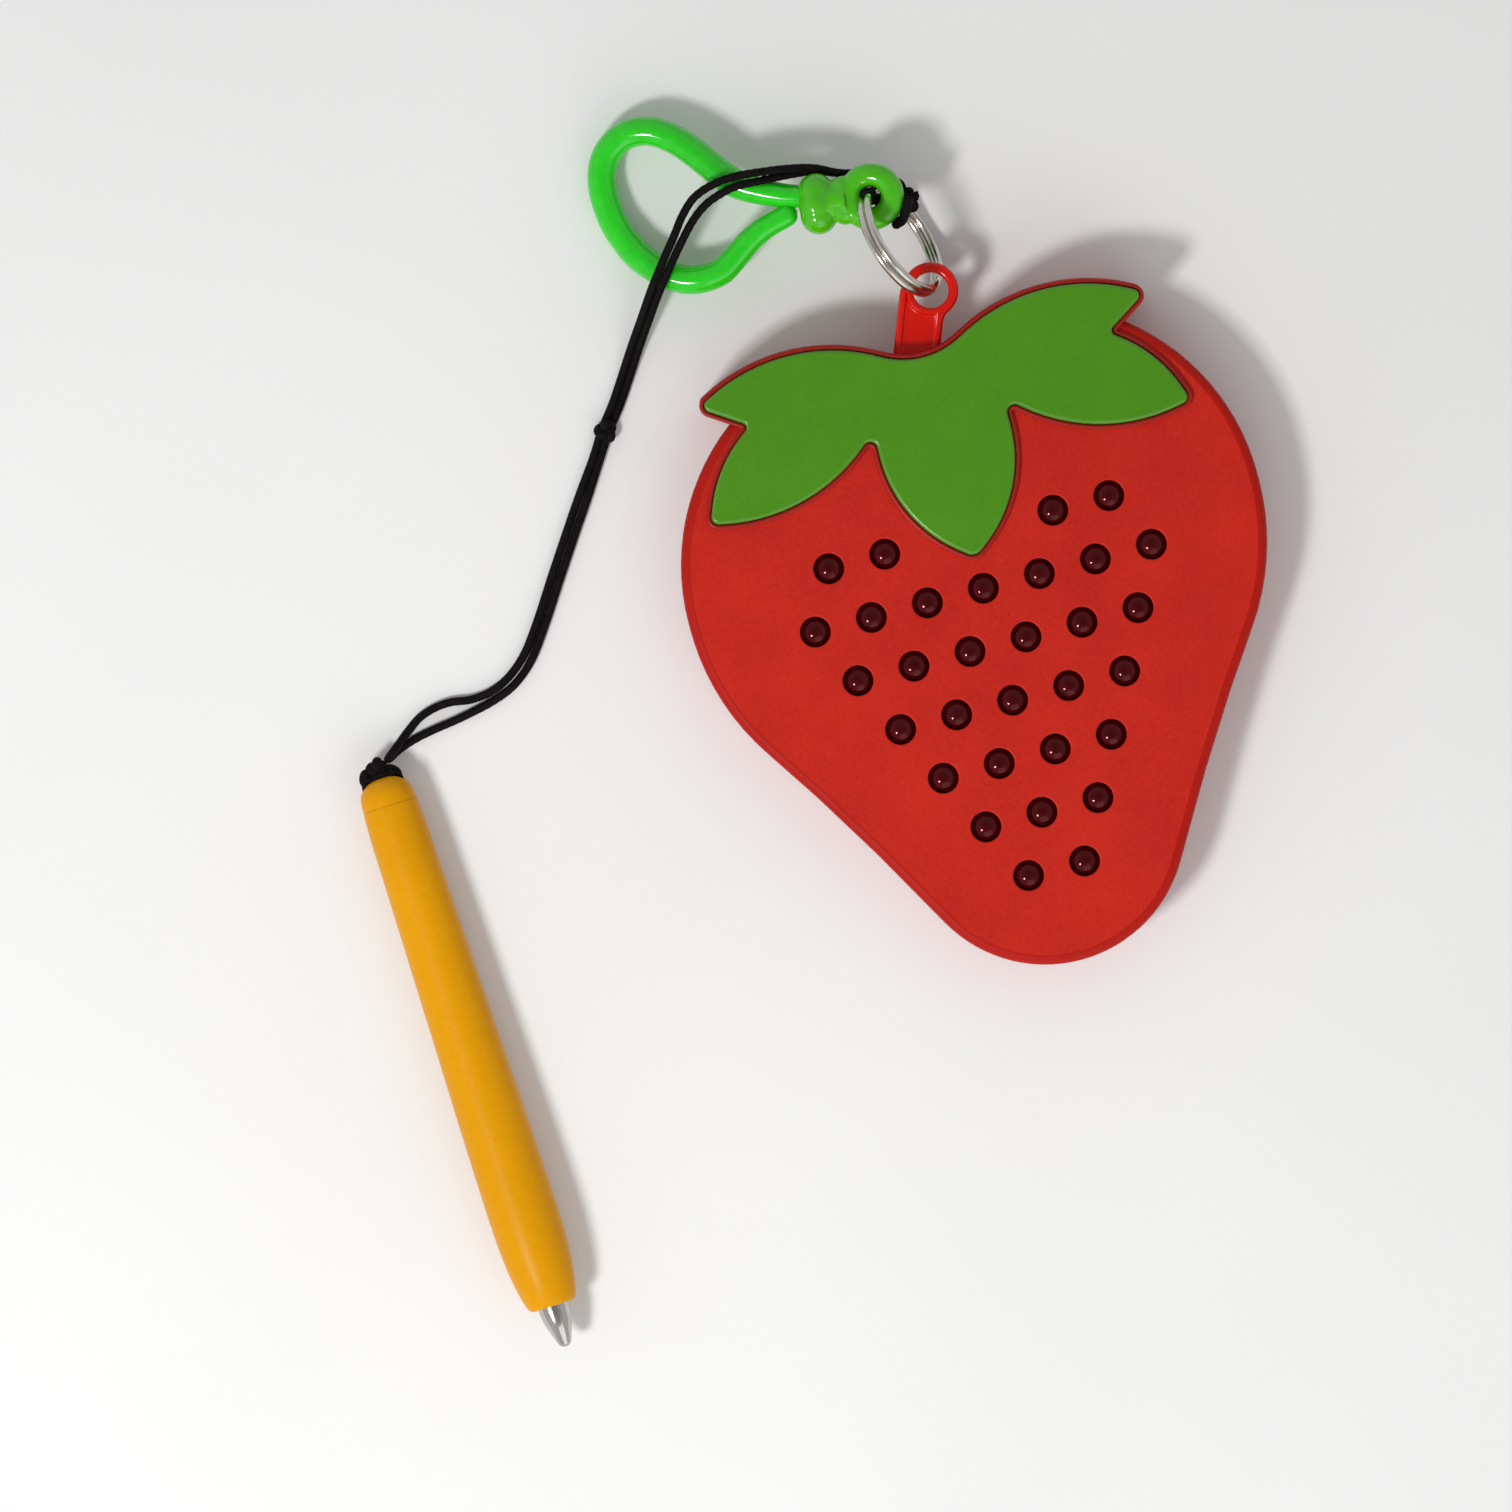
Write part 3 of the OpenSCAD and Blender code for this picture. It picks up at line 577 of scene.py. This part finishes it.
def add_sky():
    """Light all round, dimmer straight above, so that flat faces keep their colour."""
    world = bpy.data.worlds.new("studio")
    world.use_nodes = True
    tree = world.node_tree
    place = tree.nodes.new("ShaderNodeTexCoord")
    split = tree.nodes.new("ShaderNodeSeparateXYZ")
    ramp = tree.nodes.new("ShaderNodeValToRGB")
    tree.links.new(place.outputs["Generated"], split.inputs["Vector"])
    tree.links.new(split.outputs["Z"], ramp.inputs["Fac"])
    tree.links.new(ramp.outputs["Color"], tree.nodes["Background"].inputs["Color"])
    elements = ramp.color_ramp.elements
    for at, _ in SKY_LEVELS[1:-1]:
        elements.new(at)
    for element, (_, level) in zip(elements, SKY_LEVELS):
        element.color = (level, level, level, 1)
    bpy.context.scene.world = world


def add_floor():
    builder = Builder()
    corners = ((-1, -1), (1, -1), (1, 1), (-1, 1))
    builder.cap(builder.add([(x * FLOOR_HALF, y * FLOOR_HALF, FLOOR_Z) for x, y in corners]))
    material, tree, shader = nodes_of("floor_pale")
    tree.links.new(shades(tree, noise(tree, 14, 3), (0.80, 0.80, 0.795), (0.83, 0.83, 0.825)),
                   shader.inputs["Base Color"])
    shader.inputs["Roughness"].default_value = 0.8
    shader.inputs["Specular IOR Level"].default_value = 0.1
    builder.build("floor", [material])


def add_stage():
    add_camera()
    add_sky()
    add_softbox("key", (-345, -185, 477), 100, 66)
    add_softbox("low_fill", (30, -430, 269), 420, 1.0)
    add_floor()
    bpy.context.scene.view_settings.view_transform = "Standard"


# ================================================================ cords
def braided(angle, twist):
    """Radius of a round braid whose two sets of strands cross, turned by twist."""
    over = max(abs(math.cos(2 * angle + twist)), abs(math.cos(2 * angle - twist)))
    return CORD_R * (1 - BRAID_DEPTH + BRAID_DEPTH * over * over)


def braid(total):
    """Radius of a braid of a given length with rounded ends, at a distance and an angle."""
    def radius(distance, angle):
        return braided(angle, math.pi * distance / BRAID_CELL) * rounded_end(total, 1, distance)
    return radius


def cord_piece(name, route):
    line = even_line(smooth_line(route, 12), CORD_STEP)
    builder = Builder()
    tube(builder, line, braid(length_of(line)), 16)
    return builder.build(name, [CORD_BLACK]), line


def add_cords(knots):
    """The two strands. The hitch and the knots tie both."""
    for name, node, route, tied in (("braided_strand_a", "cord_strand_a", STRAND_A, knots),
                                    ("braided_strand_b", "cord_strand_b", STRAND_B, [])):
        piece, line = cord_piece(name, route)
        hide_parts(node)
        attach(piece, "clip")


def knot_line(at, size, tilt, count=110):
    """Closed line of a three-lobed knot, flattened, of a given overall size."""
    about_x, about_y, about_z = [Matrix.Rotation(math.radians(a), 3, axis) for a, axis in zip(tilt, "XYZ")]
    turn = about_z @ about_y @ about_x
    scale = (size / 2 - CORD_R) / 3
    line = []
    for k in range(count):
        t = 2 * math.pi * k / count
        x = math.sin(t) + 2 * math.sin(2 * t)
        y = math.cos(t) - 2 * math.cos(2 * t)
        z = -1.25 * math.sin(3 * t)
        line.append(Vector(at) + turn @ (Vector((x, y, z)) * scale))
    return line


def add_knot(builder, at, size, tilt):
    line = knot_line(at, size, tilt)
    total = length_of(line)
    twist = math.pi * max(1, round(total / BRAID_CELL)) / total

    def radius(distance, angle):
        return braided(angle, twist * distance)

    tube(builder, line, radius, 14, closed=True)


def add_cord_end(builder, route):
    """Short cut end of the cord, opened a little where it is cut."""
    line = even_line(smooth_line(route, 8), 0.1)
    total = length_of(line)

    def radius(distance, angle):
        flare = 1 + 0.18 * max(0.0, (distance - 0.6 * total) / (0.4 * total)) * math.cos(5 * angle)
        return CORD_R * flare * (0.93 + 0.07 * abs(math.cos(2 * angle + 3 * distance)))

    tube(builder, line, radius, 20)


def hidden_cord(builder, line):
    """A stretch of cord with both ends inside something."""
    tube(builder, line, braid(ENDLESS), 14)


def add_hitch():
    """Two half wraps round the clip's eye, tied together outside it, with the cord's cut end."""
    b = Builder()
    eye = Matrix.Translation(Vector(CLIP_EYE)) @ Matrix.Rotation(math.radians(-CLIP_PITCH), 4, "Y")
    wrap_r = EYE_ROD_R + CORD_R + 0.05
    ends = []
    for middle in HITCH_ANGLES:
        around = math.radians(middle)
        line = []
        for k in range(41):
            a = math.radians(WRAP_START + WRAP_SWEEP * k / 40)
            out = EYE_R + wrap_r * math.cos(a)
            up = wrap_r * math.sin(a)
            line.append(eye @ Vector((out * math.cos(around), out * math.sin(around), up)))
        hidden_cord(b, line)
        ends.append(line[0])
    route = [ends[0]] + [eye @ Vector(p) for p in HITCH_INSIDE] + [ends[1]]
    hidden_cord(b, even_line(smooth_line(route, 10), 0.1))
    for rise, out_by in HITCH_TURNS:
        bridge = []
        for k in range(17):
            a = math.radians(HITCH_ANGLES[1] - 4 + (HITCH_ANGLES[0] - HITCH_ANGLES[1] + 14) * k / 16)
            out = EYE_R + wrap_r + out_by + 0.12 * math.sin(math.pi * k / 8)
            bridge.append(eye @ Vector((out * math.cos(a), out * math.sin(a), rise)))
        hidden_cord(b, bridge)
    add_knot(b, HITCH_KNOT, 2.5, (35, 50, 20))
    add_knot(b, LOWER_TURN, 2.2, (80, 20, 60))
    add_cord_end(b, CUT_END)
    hitch = b.build("wound_hitch", [CORD_BLACK])
    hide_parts("cord_hitch")
    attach(hitch, "clip")
    return hitch


def add_middle_knot():
    b = Builder()
    add_knot(b, MID_KNOT, 3.1, (0, 0, 10))
    knot = b.build("wound_middle_knot", [CORD_BLACK])
    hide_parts("cord_knot_mid")
    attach(knot, "clip")
    return knot


def add_pen_knot():
    """The knot that both strands end in, and the loop that runs from it through the pen's cap."""
    b = Builder()
    add_knot(b, PEN_KNOT, 2.8, (20, 15, 40))
    add_knot(b, (PEN_KNOT[0] + 0.3, PEN_KNOT[1] - 0.1, PEN_KNOT[2] + 0.3), 2.2, (70, 40, 0))
    for end in (STRAND_A[-1], STRAND_B[-1]):
        hidden_cord(b, even_line([Vector(end), Vector(PEN_KNOT).lerp(Vector(end), 0.4)], 0.1))
    for rise in (-PEN_TURN_RISE, PEN_TURN_RISE):
        turn = [(x, y, PEN_KNOT[2] + rise) for x, y in PEN_TURN]
        hidden_cord(b, even_line(smooth_line(turn, 10), 0.12))
    hidden_cord(b, even_line(smooth_line(PEN_LOOP, 10), 0.12))
    knot = b.build("wound_pen_knot", [CORD_BLACK])
    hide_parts("cord_knot_pen")
    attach(knot, "pen")
    return knot


# ================================================================ the case
def bead_places():
    """Centre of each bead, from the boxes of the CAD beads."""
    places = []
    for name in sorted(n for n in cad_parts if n.startswith("bead_") and n[5:].isdigit()):
        low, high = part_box(name)
        places.append(((low[0] + high[0]) / 2 / MM, (low[1] + high[1]) / 2 / MM))
    return places


def add_front_shell():
    b = Builder()
    beads = bead_places()
    rim = round_over(SEAM_Z + 0.25, FACE_Z, 1.1, steps=8)
    rings = [b.ring(outline(CASE_HALF, 0.25), SEAM_Z)]
    rings += [b.ring(outline(CASE_HALF, inset), z) for inset, z in rim]
    b.join_all(rings, 1)
    inner = b.ring(outline(CAVITY_HALF, WALL), SEAM_Z)
    ceiling = b.ring(outline(CAVITY_HALF, WALL), FACE_UNDER)
    b.fill([rings[0], inner], 1)
    b.join(inner, ceiling, 2)
    pad_top = b.ring(outline(FIELD_HALF), FACE_UNDER)
    pad_low = b.ring(outline(FIELD_HALF), PAD_Z)
    b.fill([ceiling, pad_top], 2)
    b.join(pad_top, pad_low, 2)
    mouths, wells = [], []
    for at in beads:
        edge = [b.ring(circle(at, HOLE_R + wider), FACE_Z - lower) for wider, lower in HOLE_EDGE]
        low = b.ring(circle(at, HOLE_R), FACE_UNDER)
        shoulder = b.ring(circle(at, WELL_R), FACE_UNDER)
        well = b.ring(circle(at, WELL_R), PAD_Z)
        b.join_all(edge, 0)
        b.join_all([edge[-1], low, shoulder, well], 2)
        mouths.append(edge[0])
        wells.append(well)
    b.fill([rings[-1]] + mouths, 0)
    b.fill([pad_low] + wells, 2)

    # The plinth round the leaf; its sides take the darker red of painted shade.
    outer = round_over(FACE_UNDER + 0.3, PLINTH_Z, 0.22, start=-LEAF_BORDER, steps=4, hold=0.03)
    inner_edge = [(-0.16, PLINTH_Z), (-0.10, PLINTH_Z - 0.06), (-0.08, LEAF_LOW - 0.05)]
    plinth = [b.ring(outline(LEAF_HALF, inset), z) for inset, z in outer + inner_edge]
    b.join_all(plinth, 3)
    b.fill([plinth[0]], 1)
    b.fill([plinth[-1]], 1)
    shell = b.build("front_shell", [RED_SATIN, RED_GLOSS, RED_WELL, RED_STEP_PAINTED_SHADE], sharp=50)
    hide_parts("front_cover")
    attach(shell, "case")


def add_leaf():
    b = Builder()
    side = [(0.12, LEAF_LOW), (0.0, LEAF_LOW + 0.12)]
    side += round_over(LEAF_LOW + 0.3, LEAF_TOP, 0.45, steps=7, hold=0.04)
    rings = [b.ring(outline(LEAF_HALF, inset), z) for inset, z in side]
    b.join_all(rings, 1)
    b.fill([rings[0]])
    b.fill([rings[-1]])
    leaf = b.build("leaf_cap", [LEAF_GREEN, LEAF_EDGE], sharp=60)
    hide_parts("leaf_plate")
    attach(leaf, "case")


def add_back_shell():
    b = Builder()
    floor_z, recess_z, recess_r = 2.0, 1.7, 2.1
    rim = round_over(-SEAM_Z + 0.25, 0, 1.3, steps=8)
    rings = [b.ring(outline(CASE_HALF, 0.25), SEAM_Z)]
    rings += [b.ring(outline(CASE_HALF, inset), -z) for inset, z in rim]
    b.join_all(rings, 1)
    inner = b.ring(outline(CAVITY_HALF, WALL), SEAM_Z)
    low = b.ring(outline(CAVITY_HALF, WALL), floor_z)
    b.fill([rings[0], inner], 1)
    b.join(inner, low, 0)
    b.fill([low], 0)
    mouths = []
    for at in SCREW_AT:
        edge = [b.ring(circle(at, recess_r + inset), z) for inset, z in
                ((0.35, 0), (0.27, 0), (0.10, 0.06), (0, 0.22), (0, recess_z))]
        b.join_all(edge, 0)
        b.fill([edge[-1]], 0)
        mouths.append(edge[0])
    b.fill([rings[-1]] + mouths, 0)
    shell = b.build("back_shell", [RED_SATIN, RED_GLOSS], sharp=50)
    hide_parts("back_cover")
    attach(shell, "case")


def tab_points(inset, count=40, root=-4.6):
    """The tab's outline in its own frame.

    The stem's left side runs straight into the eyelet and its right side bends out to it.
    """
    half_w, r = TAB_HALF_W - inset, EYELET_R - inset
    # x, y and the direction in which the inset moves the point
    right = [
        (2.8, root + inset, 180), (2.8, 3.4, 180), (2.84, 3.9, 172), (2.98, 4.4, 163), (3.22, 4.85, 152),
    ]
    points = [Vector((x, y)) + inset * turned(Vector((1, 0)), math.radians(a)) for x, y, a in right]
    for k in range(count + 1):
        a = math.radians(-38 + 203 * k / count)
        points.append(Vector((EYELET_AT[0] + r * math.cos(a), EYELET_AT[1] + r * math.sin(a))))
    return points + [Vector((-half_w + 0.03, 6.9)), Vector((-half_w, 6.4)), Vector((-half_w, root + inset))]


def tab_recess(inset, count=28, root=-3.5):
    """The dished part of the stem, which ends in a hollow round the eyelet's lower rim."""
    half_w, r = TAB_HALF_W - 0.7 - inset, EYELET_HOLE_R + 0.7 + inset
    start = -math.acos((half_w - EYELET_AT[0]) / r)
    end = -math.radians(170)
    points = [Vector((half_w, root + inset))]
    for k in range(count + 1):
        a = start + (end - start) * k / count
        x = max(EYELET_AT[0] + r * math.cos(a), -half_w)
        points.append(Vector((x, EYELET_AT[1] + r * math.sin(a))))
    return points + [Vector((-half_w, 6.3)), Vector((-half_w, root + inset))]


def add_tab():
    b = Builder()
    crown = TAB_TOP + 0.15
    top = round_over(TAB_LOW + 0.6, crown, 0.55, steps=6, hold=0.04)
    foot = round_over(TAB_LOW + 0.6, crown, 0.35, steps=4, hold=0.04)
    low = [(inset, TAB_LOW + crown - z) for inset, z in reversed(foot)]
    rings = [b.ring(tab_points(inset), z) for inset, z in low + top]
    b.join_all(rings)
    hole_side = [
        (0.39, TAB_LOW), (0.35, TAB_LOW), (0.1, TAB_LOW + 0.1), (0, TAB_LOW + 0.35), (0, TAB_TOP - 0.35),
        (0.06, TAB_TOP - 0.08), (0.20, TAB_TOP + 0.09), (0.40, crown), (0.44, crown),
    ]
    hole = [b.ring(circle(EYELET_AT, EYELET_HOLE_R + wider), z) for wider, z in hole_side]
    b.join_all(hole)
    dish_side = [(0, 0), (0.08, 0.04), (0.18, 0.27), (0.34, 0.39), (0.40, 0.40)]
    dish = [b.ring(tab_recess(inset), crown - depth) for inset, depth in dish_side]
    b.join_all(dish)
    b.fill([dish[-1]])
    b.fill([rings[-1], hole[-1], dish[0]])
    b.fill([rings[0], hole[0]])
    lean = Matrix.Rotation(math.radians(-TAB_LEAN), 4, "Z")
    place = Matrix.Translation(Vector((*TAB_BASE, 0)) * MM) @ lean
    tab = b.build("tab_moulding", [TAB_RED], sharp=70, matrix=place)
    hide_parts("hanging_tab")
    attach(tab, "case")


# ================================================================ the split ring
def add_split_ring():
    """Nearly two turns of wire that step across to the other coil over a short stretch."""
    turns, step_from, step_to, start = 1.93, 0.92, 1.08, 200
    upright = Matrix.Rotation(math.radians(90), 4, "X")
    lean = Matrix.Rotation(math.radians(-RING_LEAN), 4, "X")
    yaw = Matrix.Rotation(math.radians(RING_YAW), 4, "Z")
    place = Matrix.Translation(Vector(RING_AT)) @ yaw @ lean @ upright
    line = []
    count = 300
    for k in range(count + 1):
        t = turns * k / count
        s = min(1, max(0, (t - step_from) / (step_to - step_from)))
        across = COIL_GAP * (s * s * (3 - 2 * s) - 0.5)
        a = 2 * math.pi * t + math.radians(start)
        line.append(place @ Vector((RING_R * math.cos(a), RING_R * math.sin(a), across)))
    b = Builder()
    total = length_of(line)

    def radius(distance, angle):
        end = min(distance, total - distance)
        return WIRE_R * (1 - 0.18 * max(0, 1 - end / 0.12))

    tube(b, line, radius, 24)
    ring = b.build("ring_wire", [NICKEL], sharp=50)
    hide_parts("split_ring")
    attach(ring, "ring")


# ================================================================ the clip
def clip_z(x):
    return CLIP_EYE[2] + (x - CLIP_EYE[0]) * math.tan(math.radians(CLIP_PITCH))


def on_clip(route):
    return [(x, y, clip_z(x)) for x, y in route]


def melt(obj, voxel, rounds):
    """Melts overlapping lumps into one skin and smooths it."""
    remesh = obj.modifiers.new("melt", "REMESH")
    remesh.mode = "VOXEL"
    remesh.voxel_size = voxel * MM
    relax = obj.modifiers.new("relax", "SMOOTH")
    relax.factor = 0.5
    relax.iterations = rounds
    melted = bpy.data.meshes.new_from_object(obj.evaluated_get(bpy.context.evaluated_depsgraph_get()))
    obj.modifiers.clear()
    obj.data = melted
    melted.shade_smooth()


def ball(builder, at, radii, matrix, rows=24, sides=32):
    """A round lump with its own radius in each direction, from pole to pole."""
    rings = []
    for i in range(1, rows):
        a = math.pi * i / rows
        row = []
        for k in range(sides):
            t = 2 * math.pi * k / sides
            x = at[0] + radii[0] * math.sin(a) * math.cos(t)
            y = at[1] + radii[1] * math.sin(a) * math.sin(t)
            row.append(matrix @ Vector((x, y, at[2] + radii[2] * math.cos(a))))
        rings.append(builder.add(row))
    builder.join_all(rings)
    builder.cap(rings[0])
    builder.cap(rings[-1])


def rod_radius(angle, r):
    """Round rod with a faint parting line along both sides."""
    ridge = max(0.0, abs(math.cos(angle)) - 0.985) / 0.015
    return r + 0.035 * ridge


def add_clip_head():
    """The eye, the neck and the collar, melted into one moulding."""
    eye_place = Matrix.Translation(Vector(CLIP_EYE)) @ Matrix.Rotation(math.radians(-CLIP_PITCH), 4, "Y")
    flat = Vector(COLLAR_AT) - Vector(CLIP_EYE[:2])
    reach, heading = flat.length, math.atan2(flat.y, flat.x)
    head_place = eye_place @ Matrix.Rotation(heading, 4, "Z")
    b = Builder()
    eye_line = [eye_place @ Vector((EYE_R * math.cos(a), EYE_R * math.sin(a), 0))
                for a in [2 * math.pi * k / 72 for k in range(72)]]
    tube(b, eye_line, lambda distance, angle: EYE_ROD_R, 28, closed=True)
    neck = [head_place @ Vector((EYE_R + 0.2 + (reach - EYE_R) * k / 10, 0, 0)) for k in range(11)]
    tube(b, neck, lambda distance, angle: NECK_R, 28)
    ball(b, (reach, 0, 0), COLLAR_MIDDLE, head_place)
    for side in (1, -1):
        ball(b, (reach, side * COLLAR_LOBE_STEP, 0), COLLAR_LOBE, head_place)
    for side in (-1, 1):
        ball(b, (EYE_R + 0.7, side * THROAT_LOBE_STEP, 0), THROAT_LOBE, head_place)
    head = b.build("clip_eye_and_collar", [EYE_GREEN])
    melt(head, MELT_VOXEL, MELT_ROUNDS)
    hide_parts("clip_hook")
    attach(head, "clip")


def add_clip_hook():
    def radius(distance, angle):
        return rod_radius(angle, ROD_R - HOOK_ROOT_THINNER * max(0.0, 1 - distance / 9))

    b = Builder()
    tube(b, even_line(smooth_line(on_clip(HOOK_ROUTE), 10), 0.3), radius, 36, caps=False)
    hook = b.build("clip_hook_rod", [CLIP_GREEN])
    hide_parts("clip_hook")
    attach(hook, "clip")


def add_clip_arm():
    """The springing arm.

    Its first stretch lies just inside the end of the hook's rod, so that no seam shows.
    """
    line = even_line(smooth_line(on_clip(ARM_ROUTE), 10), 0.3)
    total = length_of(line)

    def radius(distance, angle):
        thick = ROD_R - ARM_THINNER * min(1.0, max(0.0, (distance - 0.45 * total) / (0.55 * total)))
        thick -= 0.1 * max(0.0, 1 - distance / 3.2)
        past_tip = max(0.0, 1 - (total - distance) / thick)
        return rod_radius(angle, thick) * math.sqrt(max(0.02, 1 - past_tip ** 2))

    b = Builder()
    tube(b, line, radius, 36)
    arm = b.build("clip_arm_rod", [CLIP_GREEN])
    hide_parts("clip_gate")
    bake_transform(arm)


# ================================================================ the pen
def pen_place():
    """Turns the pen's own +Z, from its round top to its nose, into the way the pen lies."""
    flat = Matrix.Rotation(math.radians(-90), 4, "X")
    dip = Matrix.Rotation(math.radians(PEN_DIP), 4, "X")
    yaw = Matrix.Rotation(math.radians(180 + PEN_YAW), 4, "Z")
    return Matrix.Translation(Vector(PEN_TOP) * MM) @ yaw @ dip @ flat


def turned_piece(name, side, closing, material, node, sides=96):
    """A turned piece on the pen's axis: a smooth side line, then straight lines that close it inside."""
    line = smooth_line([(r, z, 0) for r, z in side], 6)
    b = Builder()
    rings = []
    for point in [(max(p.x, 0.0), p.y) for p in line] + closing:
        if point[0] < 1e-4:
            rings.append(b.add([(0, 0, point[1])] * sides))
        else:
            rings.append(b.ring(circle((0, 0), point[0], sides), point[1]))
    b.join_all(rings)
    if closing and closing[-1][0] > 1e-4:
        b.join(rings[-1], rings[0])
    piece = b.build(name, [material], sharp=40, matrix=pen_place())
    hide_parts(node)
    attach(piece, "pen")
    return piece


def cut_bore(piece, line, r):
    """Cuts the way of the cord out of a piece."""
    b = Builder()
    tube(b, line, lambda distance, angle: r, 20)
    cutter = b.build("cutter", [])
    cut = piece.modifiers.new("bore", "BOOLEAN")
    cut.operation = "DIFFERENCE"
    cut.solver = "EXACT"
    cut.object = cutter
    carved = bpy.data.meshes.new_from_object(piece.evaluated_get(bpy.context.evaluated_depsgraph_get()))
    piece.modifiers.clear()
    piece.data = carved
    bpy.data.objects.remove(cutter)


def add_pen():
    cap = turned_piece("pen_cap_moulding", CAP_SIDE, CAP_INSIDE, PEN_YELLOW, "pen_end_cap")
    cut_bore(cap, even_line(smooth_line(PEN_LOOP[1:-1], 8), 0.3), CORD_R + 0.12)
    turned_piece("pen_barrel_moulding", BARREL_SIDE, BARREL_INSIDE, PEN_YELLOW, "pen_barrel")
    turned_piece("pen_nose_cone", NOSE_SIDE, [], NOSE_METAL, "pen_nose")


# ================================================================ CAD nodes that keep their own shape
def dress_frame():
    finishes = {"bead_tray": RED_WELL, "bead_retainer": RETAINER, "back_screws": SCREW_STEEL,
                "pen_magnet": MAGNET_METAL}
    for name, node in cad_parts.items():
        # The beads take the ball material, whose dark maroon colour is a painted reflection.
        finish = finishes.get(name, BALL_STEEL_PAINTED_REFLECTION if name.startswith("bead_") else None)
        if finish is not None:
            node.data.materials.clear()
            node.data.materials.append(finish)
            node.data.shade_smooth()
            node.data.set_sharp_from_angle(angle=math.radians(35))


add_stage()
add_cords([add_hitch(), add_middle_knot(), add_pen_knot()])
add_front_shell()
add_leaf()
add_back_shell()
add_tab()
add_split_ring()
add_clip_head()
add_clip_hook()
add_clip_arm()
add_pen()
dress_frame()
